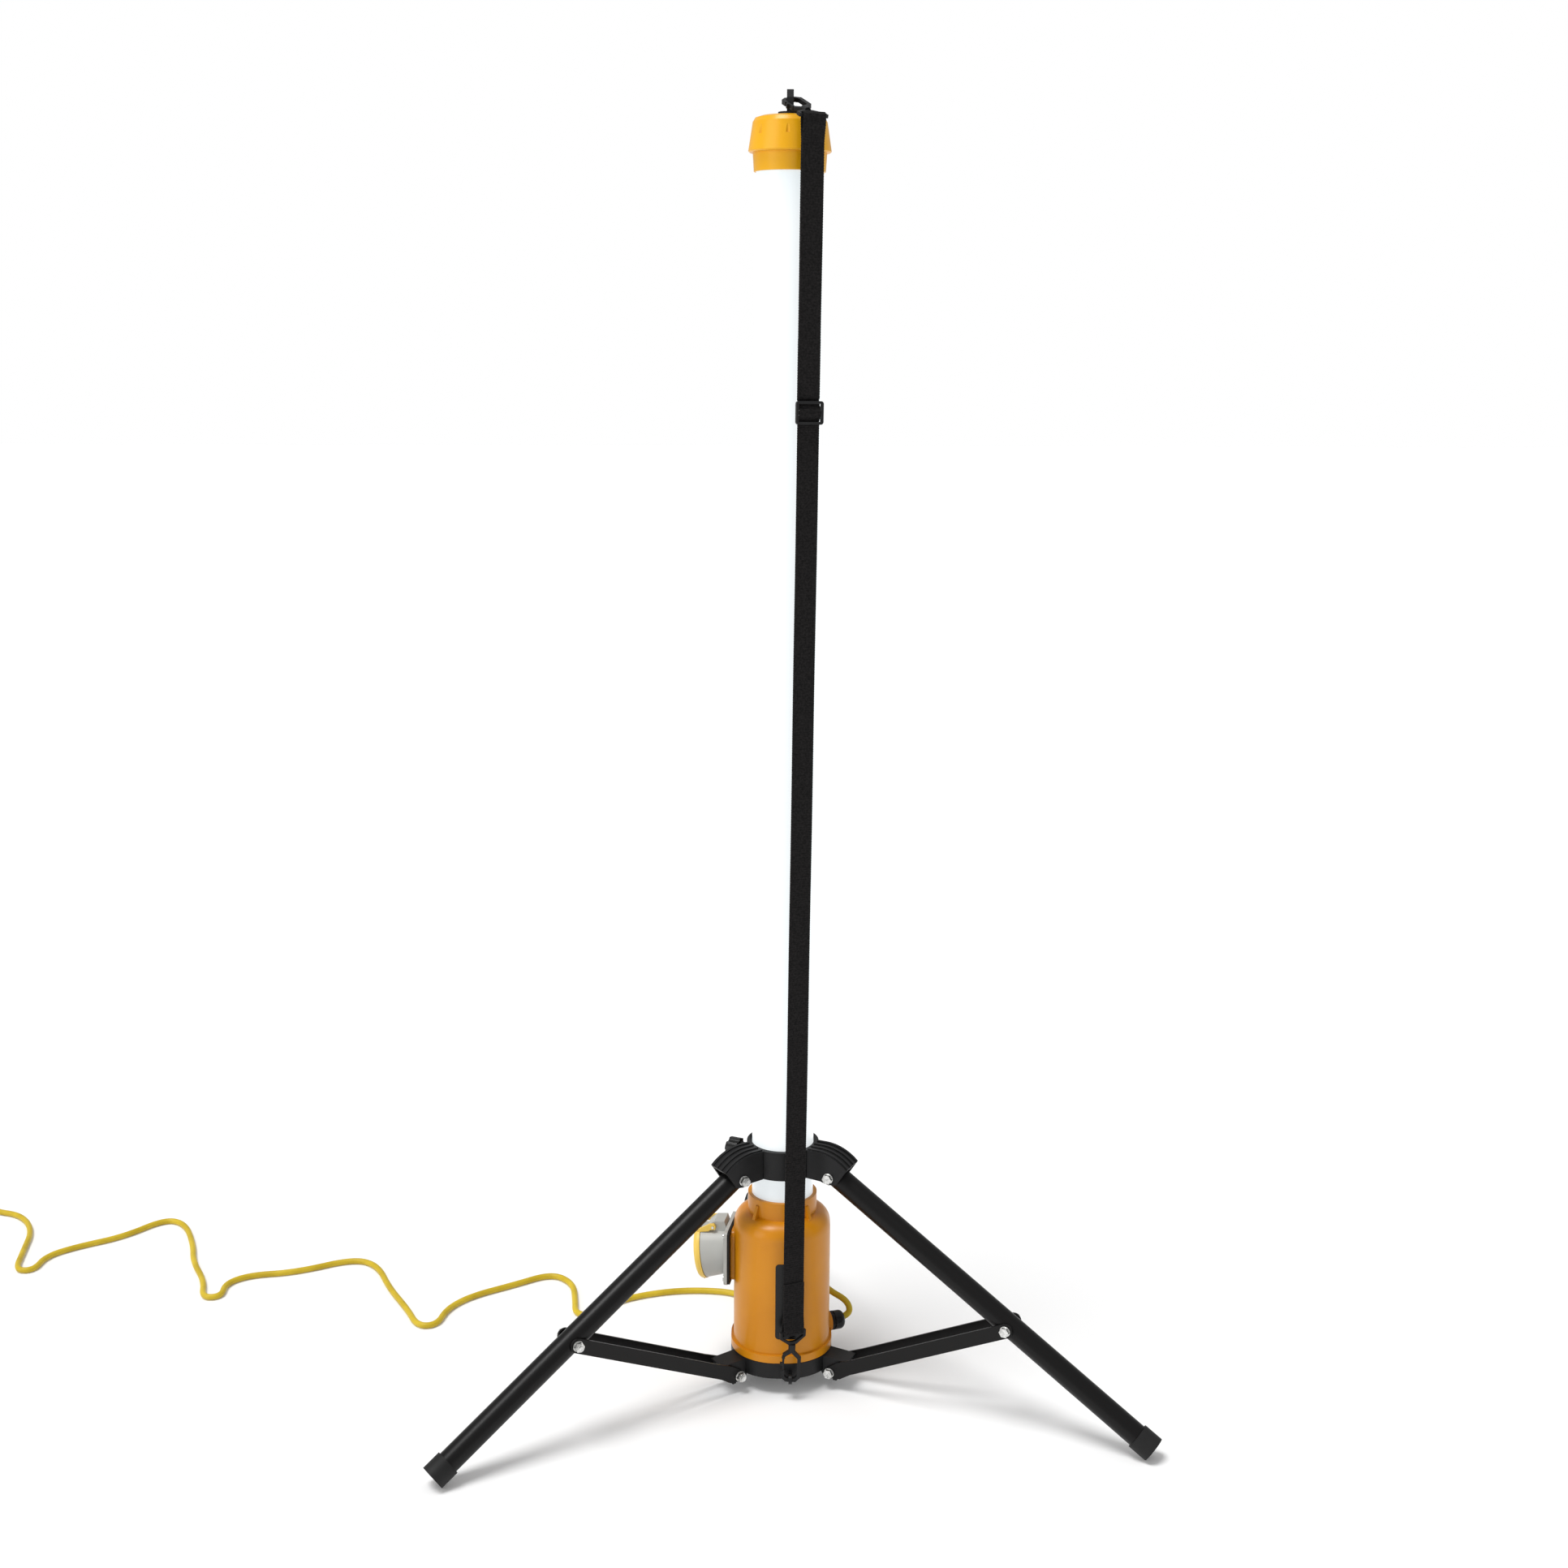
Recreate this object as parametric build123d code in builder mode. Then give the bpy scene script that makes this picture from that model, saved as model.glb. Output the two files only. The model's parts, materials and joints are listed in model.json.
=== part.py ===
from build123d import *
import os
from math import atan2, cos, degrees, hypot, pi, radians, sin, tan

# A 4 ft LED site light: an opal tube on a moulded base, held up by three folding legs, with a
# through socket, a supply lead and a carrying strap. Millimetres. The origin is the point on the
# floor under the tube's axis, +Z runs up the tube, and -Y is the side that carries the strap.

# ---- legs and their linkage -------------------------------------------------------------------
LEG_AZIMUTHS = (90.0, 210.0, 330.0)
LEG_TUBE_R = 12.7
LEG_WALL = 1.5
COLLAR_PIVOT_R = 64.5          # hinge of each leg on the sliding collar: radius and height
COLLAR_PIVOT_Z = 260.0
BRACE_PIVOT_R = 68.5           # hinge of each brace on the base bracket
BRACE_PIVOT_Z = 20.5
LEG_TO_BRACE = 255.5           # from the collar hinge to the brace hinge, along the leg
LEG_SPREAD = 57.0              # degrees from vertical
FOOT_CAP_R = 14.6
FOOT_CAP_LENGTH = 22.0
FOOT_SOLE = 6.0
LEG_END_CLEARANCE = 11.0       # length of tube above the collar hinge

# ---- fasteners --------------------------------------------------------------------------------
BOLT_R = 3.0
BOLT_CLEARANCE = 0.1
NUT_FLATS = 10.0
NUT_HEIGHT = 6.0
NUT_HEX_SHARE = 0.72           # the rest of the nut is its round nylon collar
HEAD_HEIGHT = 4.0
THREAD_END = 1.5
WASHER_R = 6.0
WASHER_T = 0.8

# ---- sliding collar ---------------------------------------------------------------------------
TUBE_R = 35.0
TUBE_WALL = 2.0
COLLAR_SLIDE_GAP = 0.5
COLLAR_RING_R = 41.0
COLLAR_BOTTOM_Z = 255.5
COLLAR_TOP_Z = 289.0
ARM_WALL = 3.0
ARM_SIDE_GAP = 1.0
ARM_SKIN = 3.0
ARM_RIB_WIDTH = 3.2
ARM_RIB_HEIGHT = 1.4
REAR_LIP_HEIGHT = 3.0
REAR_LIP_T = 2.4
REAR_LIP_FRONT_Y = 10.0        # the lip only runs round the back of the tube

# ---- braces -----------------------------------------------------------------------------------
BAR_T = 2.5
BAR_HALF_HEIGHT = 8.2
BAR_SIDE_GAP = 0.7
TONGUE_SIDE_GAP = 0.6

# ---- base -------------------------------------------------------------------------------------
BODY_TURN = -5.0               # the housing's flats stand a little off the legs' own symmetry
BODY_HALF = 55.5
BODY_CORNER_R = 50.0
BODY_WALL = 3.0
BODY_BOTTOM_Z = 24.0
BODY_SHOULDER_Z = 206.0
SHOULDER_FILLET = 19.0
FLANGE_HALF = 58.5
FLANGE_TOP_Z = 49.0
NECK_R = 39.5
NECK_TOP_Z = 227.0
TUBE_SEAT_Z = 192.0
TUBE_FIT = 0.3
TRAY_GAP = 0.5
TRAY_WALL = 2.5
TRAY_FLOOR = 3.0
TRAY_TOP_Z = 39.5
TRAY_SCREW_R = 4.0
TRAY_SCREW_HEAD = 2.2
TRAY_SCREW_CIRCLE = 38.0
TONGUE_TOP_Z = 38.5
TONGUE_TIP_R = 90.0

# ---- top cap ----------------------------------------------------------------------------------
CAP_NECK_Z = 1352.0
CAP_SKIRT_Z = 1371.0
CAP_TOP_Z = 1408.0
CAP_SKIRT_R = 43.0
CAP_TOP_R = 38.5
CAP_NECK_R = 36.8
CAP_WALL = 2.6

# ---- strap ------------------------------------------------------------------------------------
WEB_WIDTH = 25.0
WEB_T = 1.6
STRAP_TOP = Vector(19.0, -51.5, 1403.0)      # middle of the upper hook's strap bar
STRAP_BOTTOM = Vector(7.0, -68.5, 84.0)      # middle of the lower hook's strap bar
STRAP_FACING = 290.0           # azimuth that the strap's face looks along
BUCKLE_Z = 1110.0
HOOK_LENGTH = 58.0             # from the strap bar to the far bend of the hook
HOOK_BAR = 3.5
HOOK_WIRE = 4.0
HOOK_HALF = 9.0                # half the hook's width, at the middle of its wire
HOOK_AZIMUTH = -5.0            # the far bend of each hook runs this way, through its eye

# ---- socket and lead --------------------------------------------------------------------------
SOCKET_AZIMUTH = 166.0
SOCKET_Z = 150.0
SOCKET_PLATE = 66.0
SOCKET_GASKET_T = 2.5
SOCKET_PLATE_T = 4.0
SOCKET_TILT = 8.0              # degrees that the barrel dips below level
BARREL_R = 30.5
BARREL_LENGTH = 27.0
LID_T = 8.0
GLAND_AZIMUTH = 15.0
GLAND_Z = 53.0
GLAND_SEAT_R = 60.6
GLAND_R = 11.0
CORD_R = 3.75
COIL_TURN_R = 44.0
COIL_TURNS = 3
PLUG_R = 21.0

os.makedirs("parts", exist_ok=True)
pieces = []


def finish(builder, name):
    """Labels one finished piece and writes its STEP file."""
    builder.part.label = name
    export_step(builder.part, f"parts/{name}.step")
    pieces.append(builder.part)


def direction(azimuth):
    """Level unit vector at an azimuth in degrees, counted from +X towards +Y."""
    return Vector(cos(radians(azimuth)), sin(radians(azimuth)), 0)


def radial_plane(azimuth):
    """Upright plane through the tube's axis: local x runs outwards and local y runs up."""
    outward = direction(azimuth)
    return Plane(origin=(0, 0, 0), x_dir=outward, z_dir=outward.cross(Vector(0, 0, 1)))


def at_radius(azimuth, radius, height):
    """Point in the radial plane of an azimuth."""
    outward = direction(azimuth)
    return Vector(outward.X * radius, outward.Y * radius, height)


def body_plane(height):
    """Level plane with the housing's own turn about the axis."""
    return Plane(origin=(0, 0, height), x_dir=direction(BODY_TURN), z_dir=(0, 0, 1))


# ---- derived places ---------------------------------------------------------------------------
LEG_DIR = (sin(radians(LEG_SPREAD)), -cos(radians(LEG_SPREAD)))
LEG_NORMAL = (-LEG_DIR[1], LEG_DIR[0])
LEG_LENGTH = (COLLAR_PIVOT_Z - FOOT_CAP_R * sin(radians(LEG_SPREAD))) / cos(radians(LEG_SPREAD))


def on_leg(along, across=0.0):
    """Point in the radial plane, from the collar hinge along the leg and out across it."""
    return (
        COLLAR_PIVOT_R + LEG_DIR[0] * along + LEG_NORMAL[0] * across,
        COLLAR_PIVOT_Z + LEG_DIR[1] * along + LEG_NORMAL[1] * across,
    )


BRACE_END = on_leg(LEG_TO_BRACE)
BRACE_RUN = (BRACE_END[0] - BRACE_PIVOT_R, BRACE_END[1] - BRACE_PIVOT_Z)
BRACE_LENGTH = hypot(BRACE_RUN[0], BRACE_RUN[1])
BRACE_SLOPE = degrees(atan2(BRACE_RUN[1], BRACE_RUN[0]))
BRACE_DIR = (cos(radians(BRACE_SLOPE)), sin(radians(BRACE_SLOPE)))

ARM_INNER = LEG_TUBE_R + ARM_SIDE_GAP
ARM_OUTER = ARM_INNER + ARM_WALL
BAR_INNER = LEG_TUBE_R + BAR_SIDE_GAP
BAR_OUTER = BAR_INNER + BAR_T
TONGUE_HALF = BAR_INNER - TONGUE_SIDE_GAP
TRAY_INNER = BODY_HALF + TRAY_GAP
TRAY_OUTER = TRAY_INNER + TRAY_WALL
TRAY_CORNER_R = BODY_CORNER_R + TRAY_OUTER - BODY_HALF
TRAY_BOTTOM_Z = BODY_BOTTOM_Z - TRAY_FLOOR
LEG_BOTTOM_OF_TUBE = LEG_LENGTH - FOOT_SOLE


def on_brace(along, across=0.0):
    """Point in the radial plane, from the brace's base hinge along it and up across it."""
    return (
        BRACE_PIVOT_R + BRACE_DIR[0] * along - BRACE_DIR[1] * across,
        BRACE_PIVOT_Z + BRACE_DIR[1] * along + BRACE_DIR[0] * across,
    )


def bolt_set(azimuths, place, half_grip, name):
    """One node of hex bolts, each with two washers and a lock nut, across the radial planes."""
    washer_face = half_grip + WASHER_T
    with BuildPart() as bolts:
        for azimuth in azimuths:
            plane = radial_plane(azimuth)
            with BuildSketch(plane.offset(-washer_face - NUT_HEIGHT - THREAD_END)):
                with Locations(place):
                    Circle(BOLT_R)
            extrude(amount=2 * washer_face + NUT_HEIGHT + THREAD_END)
            with BuildSketch(plane.offset(washer_face)):
                with Locations(place):
                    RegularPolygon(NUT_FLATS / 2, 6, major_radius=False)
            extrude(amount=HEAD_HEIGHT)
            for side in (-washer_face, half_grip):
                with BuildSketch(plane.offset(side)):
                    with Locations(place):
                        Circle(WASHER_R)
                extrude(amount=WASHER_T)
            with BuildSketch(plane.offset(-washer_face)):
                with Locations(place):
                    RegularPolygon(NUT_FLATS / 2, 6, major_radius=False)
            extrude(amount=-NUT_HEIGHT * NUT_HEX_SHARE)
            with BuildSketch(plane.offset(-washer_face - NUT_HEIGHT * NUT_HEX_SHARE)):
                with Locations(place):
                    Circle(NUT_FLATS / 2 - 0.6)
            extrude(amount=-NUT_HEIGHT * (1 - NUT_HEX_SHARE))
    finish(bolts, name)


# ===== lamp tube and what is inside it =========================================================
SEAL_T = 2.0
TUBE_BOTTOM_Z = TUBE_SEAT_Z + SEAL_T
TUBE_TOP_Z = CAP_SKIRT_Z + 12.0

with BuildPart() as diffuser_tube:
    with BuildSketch(Plane.XY.offset(TUBE_BOTTOM_Z)):
        Circle(TUBE_R)
        Circle(TUBE_R - TUBE_WALL, mode=Mode.SUBTRACT)
    extrude(amount=TUBE_TOP_Z - TUBE_BOTTOM_Z)
finish(diffuser_tube, "diffuser_tube")

CARRIER_HALF = 12.0
CARRIER_T = 1.8
CARRIER_BOTTOM_Z = TUBE_SEAT_Z + 6.0
CARRIER_TOP_Z = CAP_SKIRT_Z + 4.0
BOARD_T = 1.6
BOARD_WIDTH = 18.0
CHIP_PITCH = 62.0
CHIP_SIZE = 5.0
CHIP_T = 1.2

with BuildPart() as led_carrier:
    with BuildSketch(Plane.XY.offset(CARRIER_BOTTOM_Z)):
        Rectangle(2 * CARRIER_HALF, 2 * CARRIER_HALF)
        Rectangle(2 * (CARRIER_HALF - CARRIER_T), 2 * (CARRIER_HALF - CARRIER_T), mode=Mode.SUBTRACT)
    extrude(amount=CARRIER_TOP_Z - CARRIER_BOTTOM_Z)
finish(led_carrier, "led_carrier")

with BuildPart() as led_boards:
    for quarter in range(4):
        face_plane = Plane(
            origin=direction(90 * quarter) * CARRIER_HALF,
            x_dir=direction(90 * quarter + 90),
            z_dir=direction(90 * quarter),
        )
        board_mid = (CARRIER_BOTTOM_Z + CARRIER_TOP_Z) / 2
        with BuildSketch(face_plane):
            with Locations((0, board_mid)):
                Rectangle(BOARD_WIDTH, CARRIER_TOP_Z - CARRIER_BOTTOM_Z - 10.0)
        extrude(amount=BOARD_T)
        with BuildSketch(face_plane.offset(BOARD_T)):
            with Locations((0, board_mid)):
                with GridLocations(1, CHIP_PITCH, 1, 18):
                    Rectangle(CHIP_SIZE, CHIP_SIZE)
        extrude(amount=CHIP_T)
finish(led_boards, "led_boards")

with BuildPart() as carrier_ends:
    for plug_z, inside in ((CARRIER_BOTTOM_Z, 1), (CARRIER_TOP_Z, -1)):
        with BuildSketch(Plane.XY.offset(plug_z)):
            Circle(TUBE_R - TUBE_WALL - TUBE_FIT)
            Circle(6.0, mode=Mode.SUBTRACT)
        extrude(amount=-4.0 * inside)
        with BuildSketch(Plane.XY.offset(plug_z)):
            Rectangle(2 * (CARRIER_HALF - CARRIER_T) - TUBE_FIT, 2 * (CARRIER_HALF - CARRIER_T) - TUBE_FIT)
            Circle(6.0, mode=Mode.SUBTRACT)
        extrude(amount=8.0 * inside)
finish(carrier_ends, "carrier_ends")

# ===== base housing ============================================================================
SOCKET_FACE = BODY_HALF + 0.8
SOCKET_CABLE_R = 19.0
SOCKET_LAND_WIDTH = 46.0
SOCKET_LAND_HEIGHT = 62.0
GLAND_THREAD_R = 10.0

with BuildPart() as base_housing:
    with BuildSketch(body_plane(BODY_BOTTOM_Z)):
        RectangleRounded(2 * BODY_HALF, 2 * BODY_HALF, BODY_CORNER_R)
    extrude(amount=BODY_SHOULDER_Z - BODY_BOTTOM_Z)
    fillet(faces().sort_by(Axis.Z)[-1].edges(), SHOULDER_FILLET)
    # the flange stands just above the bracket's rim
    with BuildSketch(body_plane(TRAY_TOP_Z + TRAY_GAP)):
        RectangleRounded(2 * FLANGE_HALF, 2 * FLANGE_HALF, BODY_CORNER_R + FLANGE_HALF - BODY_HALF)
    extrude(amount=FLANGE_TOP_Z - TRAY_TOP_Z - TRAY_GAP)
    with BuildSketch(Plane.XY.offset(BODY_SHOULDER_Z - 8.0)):
        Circle(NECK_R)
    extrude(amount=NECK_TOP_Z - BODY_SHOULDER_Z + 8.0)
    # four shallow buttresses tie the neck to the shoulder
    for corner in range(4):
        with BuildSketch(radial_plane(BODY_TURN + 45 + 90 * corner)):
            with BuildLine():
                Polyline(
                    (NECK_R - 2, NECK_TOP_Z - 7),
                    (NECK_R + 1.2, NECK_TOP_Z - 7),
                    (NECK_R + 8.5, BODY_SHOULDER_Z - 6),
                    (NECK_R - 2, BODY_SHOULDER_Z - 6),
                    close=True,
                )
            make_face()
        extrude(amount=2.0, both=True)
    # flat land that carries the socket
    socket_land = Plane(
        origin=at_radius(SOCKET_AZIMUTH, BODY_HALF - 18.0, SOCKET_Z),
        x_dir=direction(SOCKET_AZIMUTH - 90),
        z_dir=direction(SOCKET_AZIMUTH),
    )
    with BuildSketch(socket_land):
        RectangleRounded(SOCKET_LAND_WIDTH, SOCKET_LAND_HEIGHT, 7.0)
    extrude(amount=SOCKET_FACE - BODY_HALF + 18.0)
    # round pad that the cord gland is screwed to
    gland_land = Plane(
        origin=at_radius(GLAND_AZIMUTH, GLAND_SEAT_R - 15.0, GLAND_Z),
        x_dir=direction(GLAND_AZIMUTH + 90),
        z_dir=direction(GLAND_AZIMUTH),
    )
    with BuildSketch(gland_land):
        Circle(GLAND_R + 0.4)
    extrude(amount=15.0)
    # hollow for the driver and the wiring
    with BuildSketch(body_plane(BODY_BOTTOM_Z)):
        RectangleRounded(2 * (BODY_HALF - BODY_WALL), 2 * (BODY_HALF - BODY_WALL), BODY_CORNER_R - BODY_WALL)
    extrude(amount=BODY_SHOULDER_Z - SHOULDER_FILLET - BODY_BOTTOM_Z, mode=Mode.SUBTRACT)
    with BuildSketch(Plane.XY.offset(TUBE_SEAT_Z)):
        Circle(TUBE_R + TUBE_FIT)
    extrude(amount=NECK_TOP_Z - TUBE_SEAT_Z, mode=Mode.SUBTRACT)
    with BuildSketch(Plane.XY.offset(BODY_SHOULDER_Z - SHOULDER_FILLET - 1.0)):
        Circle(TUBE_R - TUBE_WALL - 1.0)
    extrude(amount=TUBE_SEAT_Z - BODY_SHOULDER_Z + SHOULDER_FILLET + 2.0, mode=Mode.SUBTRACT)
    # holes for the socket's back and for the cord gland
    with BuildSketch(socket_land):
        Circle(SOCKET_CABLE_R)
    extrude(amount=SOCKET_FACE, mode=Mode.SUBTRACT)
    with BuildSketch(gland_land):
        Circle(GLAND_THREAD_R + BOLT_CLEARANCE)
    extrude(amount=30.0, mode=Mode.SUBTRACT)
finish(base_housing, "base_housing")

# rubber ring that the diffuser's foot stands on
with BuildPart() as lower_seal:
    with BuildSketch(Plane.XY.offset(TUBE_SEAT_Z)):
        Circle(TUBE_R)
        Circle(TUBE_R - TUBE_WALL, mode=Mode.SUBTRACT)
    extrude(amount=SEAL_T)
finish(lower_seal, "lower_seal")

LABEL_HEIGHT = 92.0
LABEL_WIDTH = 30.0
LABEL_Z = 115.0
label_plane = Plane(
    origin=direction(BODY_TURN - 90) * BODY_HALF + Vector(0, 0, LABEL_Z) + direction(BODY_TURN) * 8.0,
    x_dir=direction(BODY_TURN),
    z_dir=direction(BODY_TURN - 90),
)
with BuildPart() as label_plate:
    with BuildSketch(label_plane):
        RectangleRounded(LABEL_WIDTH, LABEL_HEIGHT, 4.0)
    extrude(amount=0.8)
finish(label_plate, "label_plate")

# ===== electrics inside the base ===============================================================
with BuildPart() as led_driver:
    with BuildSketch(body_plane(BODY_BOTTOM_Z + 12.0)):
        with Locations((12.0, -6.0)):
            RectangleRounded(44.0, 34.0, 3.0)
    extrude(amount=118.0)
finish(led_driver, "led_driver")

with BuildPart() as chassis_plate:
    with BuildSketch(body_plane(BODY_BOTTOM_Z + 9.0)):
        RectangleRounded(2 * (BODY_HALF - BODY_WALL) - 1.0, 2 * (BODY_HALF - BODY_WALL) - 1.0, BODY_CORNER_R - BODY_WALL)
    extrude(amount=3.0)
finish(chassis_plate, "chassis_plate")

# ===== base bracket with three tongues =========================================================
TONGUE_BOTTOM_Z = 11.0
SLOT_HALF = BOLT_R + BOLT_CLEARANCE

with BuildPart() as base_bracket:
    with BuildSketch(body_plane(TRAY_BOTTOM_Z)):
        RectangleRounded(2 * TRAY_OUTER, 2 * TRAY_OUTER, TRAY_CORNER_R)
    extrude(amount=TRAY_TOP_Z - TRAY_BOTTOM_Z)
    with BuildSketch(body_plane(BODY_BOTTOM_Z)):
        RectangleRounded(2 * TRAY_INNER, 2 * TRAY_INNER, TRAY_CORNER_R - TRAY_WALL)
    extrude(amount=TRAY_TOP_Z - BODY_BOTTOM_Z, mode=Mode.SUBTRACT)
    for azimuth in LEG_AZIMUTHS:
        with BuildSketch(radial_plane(azimuth)):
            with BuildLine():
                Polyline(
                    (TRAY_INNER - 0.2, TONGUE_TOP_Z),
                    (TONGUE_TIP_R, TONGUE_TOP_Z - 1.5),
                    (TONGUE_TIP_R - 5.0, TONGUE_TOP_Z - 11.0),
                    (BRACE_PIVOT_R + 8.0, TONGUE_BOTTOM_Z),
                    (BRACE_PIVOT_R - 6.5, TONGUE_BOTTOM_Z),
                    (TRAY_INNER - 0.2, TRAY_BOTTOM_Z),
                    close=True,
                )
            make_face()
        extrude(amount=TONGUE_HALF, both=True)
        # open-bottomed hook that the brace bolt drops into
        with BuildSketch(radial_plane(azimuth)):
            with Locations((BRACE_PIVOT_R, BRACE_PIVOT_Z)):
                Circle(SLOT_HALF)
            with BuildLine():
                Polyline(
                    (BRACE_PIVOT_R - SLOT_HALF, BRACE_PIVOT_Z),
                    (BRACE_PIVOT_R + SLOT_HALF, BRACE_PIVOT_Z),
                    (BRACE_PIVOT_R + SLOT_HALF + 0.3, TONGUE_BOTTOM_Z - 1.0),
                    (BRACE_PIVOT_R - SLOT_HALF - 2.2, TONGUE_BOTTOM_Z - 1.0),
                    close=True,
                )
            make_face()
        extrude(amount=TONGUE_HALF + 1.0, both=True, mode=Mode.SUBTRACT)
    # the housing's own space is kept clear of the tongues' roots
    with BuildSketch(body_plane(BODY_BOTTOM_Z)):
        RectangleRounded(2 * TRAY_INNER, 2 * TRAY_INNER, TRAY_CORNER_R - TRAY_WALL)
    extrude(amount=TRAY_TOP_Z - BODY_BOTTOM_Z, mode=Mode.SUBTRACT)
    # recesses for the screw heads, so that the underside stays flat
    with BuildSketch(Plane.XY.offset(TRAY_BOTTOM_Z)):
        with PolarLocations(TRAY_SCREW_CIRCLE, 4, start_angle=BODY_TURN + 45):
            Circle(TRAY_SCREW_R + 0.2)
    extrude(amount=TRAY_SCREW_HEAD, mode=Mode.SUBTRACT)
finish(base_bracket, "base_bracket")

with BuildPart() as bracket_screws:
    with BuildSketch(Plane.XY.offset(TRAY_BOTTOM_Z)):
        with PolarLocations(TRAY_SCREW_CIRCLE, 4, start_angle=BODY_TURN + 45):
            Circle(TRAY_SCREW_R)
    extrude(amount=TRAY_SCREW_HEAD)
finish(bracket_screws, "bracket_screws")

# ===== top cap =================================================================================
with BuildPart() as top_cap:
    with BuildSketch(Plane.XZ):
        with BuildLine():
            Polyline(
                (0, CAP_TOP_Z),
                (CAP_TOP_R - 9.0, CAP_TOP_Z - 1.0),
                (CAP_TOP_R - 2.5, CAP_TOP_Z - 3.0),
                (CAP_TOP_R, CAP_TOP_Z - 7.0),
                (CAP_SKIRT_R, CAP_SKIRT_Z + 1.2),
                (CAP_SKIRT_R - 1.4, CAP_SKIRT_Z),
                (CAP_NECK_R + 1.6, CAP_SKIRT_Z),
                (CAP_NECK_R + 0.4, CAP_NECK_Z),
                (TUBE_R + TUBE_FIT, CAP_NECK_Z),
                (TUBE_R + TUBE_FIT, TUBE_TOP_Z + SEAL_T),
                (TUBE_R - TUBE_WALL - 2.0, TUBE_TOP_Z + SEAL_T),
                (TUBE_R - TUBE_WALL - 2.0, CAP_TOP_Z - CAP_WALL - 2.0),
                (0, CAP_TOP_Z - CAP_WALL),
                close=True,
            )
        make_face()
    revolve(axis=Axis.Z)
    # eight shallow grip grooves down the skirt
    for turn in range(8):
        groove = Plane(origin=at_radius(262.0 + 45 * turn, CAP_TOP_R + 2.6, 0), z_dir=(0, 0, 1))
        with BuildSketch(groove.offset(CAP_TOP_Z - 20.0)):
            Circle(2.0)
        extrude(amount=30.0, mode=Mode.SUBTRACT)
finish(top_cap, "top_cap")

# rubber ring between the diffuser's head and the ledge inside the cap
with BuildPart() as upper_seal:
    with BuildSketch(Plane.XY.offset(TUBE_TOP_Z)):
        Circle(TUBE_R)
        Circle(TUBE_R - TUBE_WALL, mode=Mode.SUBTRACT)
    extrude(amount=SEAL_T)
finish(upper_seal, "upper_seal")

EYE_FOOT_R = 12.5
EYE_FOOT_T = 3.0
EYE_T = 7.0
EYE_TOP_Z = CAP_TOP_Z + 25.0
EYE_HOLE_R = 6.1
EYE_HOLE_Z = EYE_TOP_Z - 10.0
eye_plane = radial_plane(HOOK_AZIMUTH + 90)
with BuildPart() as hanging_eye:
    with BuildSketch(Plane.XY.offset(CAP_TOP_Z)):
        Circle(EYE_FOOT_R)
    extrude(amount=EYE_FOOT_T)
    with BuildSketch(eye_plane):
        with BuildLine():
            Polyline(
                (-11.0, CAP_TOP_Z + EYE_FOOT_T - 0.5),
                (11.0, CAP_TOP_Z + EYE_FOOT_T - 0.5),
                (8.0, EYE_TOP_Z - 8.0),
                (4.0, EYE_TOP_Z),
                (-4.0, EYE_TOP_Z),
                (-8.0, EYE_TOP_Z - 8.0),
                close=True,
            )
        make_face()
    extrude(amount=EYE_T / 2, both=True)
    with BuildSketch(eye_plane):
        with Locations((0, EYE_HOLE_Z)):
            Circle(EYE_HOLE_R)
    extrude(amount=EYE_T, both=True, mode=Mode.SUBTRACT)
finish(hanging_eye, "hanging_eye")

# ===== sliding collar ==========================================================================
ARM_END = LEG_END_CLEARANCE + 0.7
ARM_TOP = 23.0
ARM_LUG_R = 8.0
arm_end_top = on_leg(ARM_END, ARM_TOP)
arm_end_low = on_leg(ARM_END, -0.6)
arm_ring_r = TUBE_R + 3.0
skin_end = on_leg(ARM_END + 1.0, ARM_TOP - ARM_SKIN)
KNOB_AZIMUTH = 150.0
KNOB_Z = COLLAR_BOTTOM_Z + 10.5
KNOB_THREAD_R = 4.0
BOSS_R = 10.0
BOSS_REACH = 53.0

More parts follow.
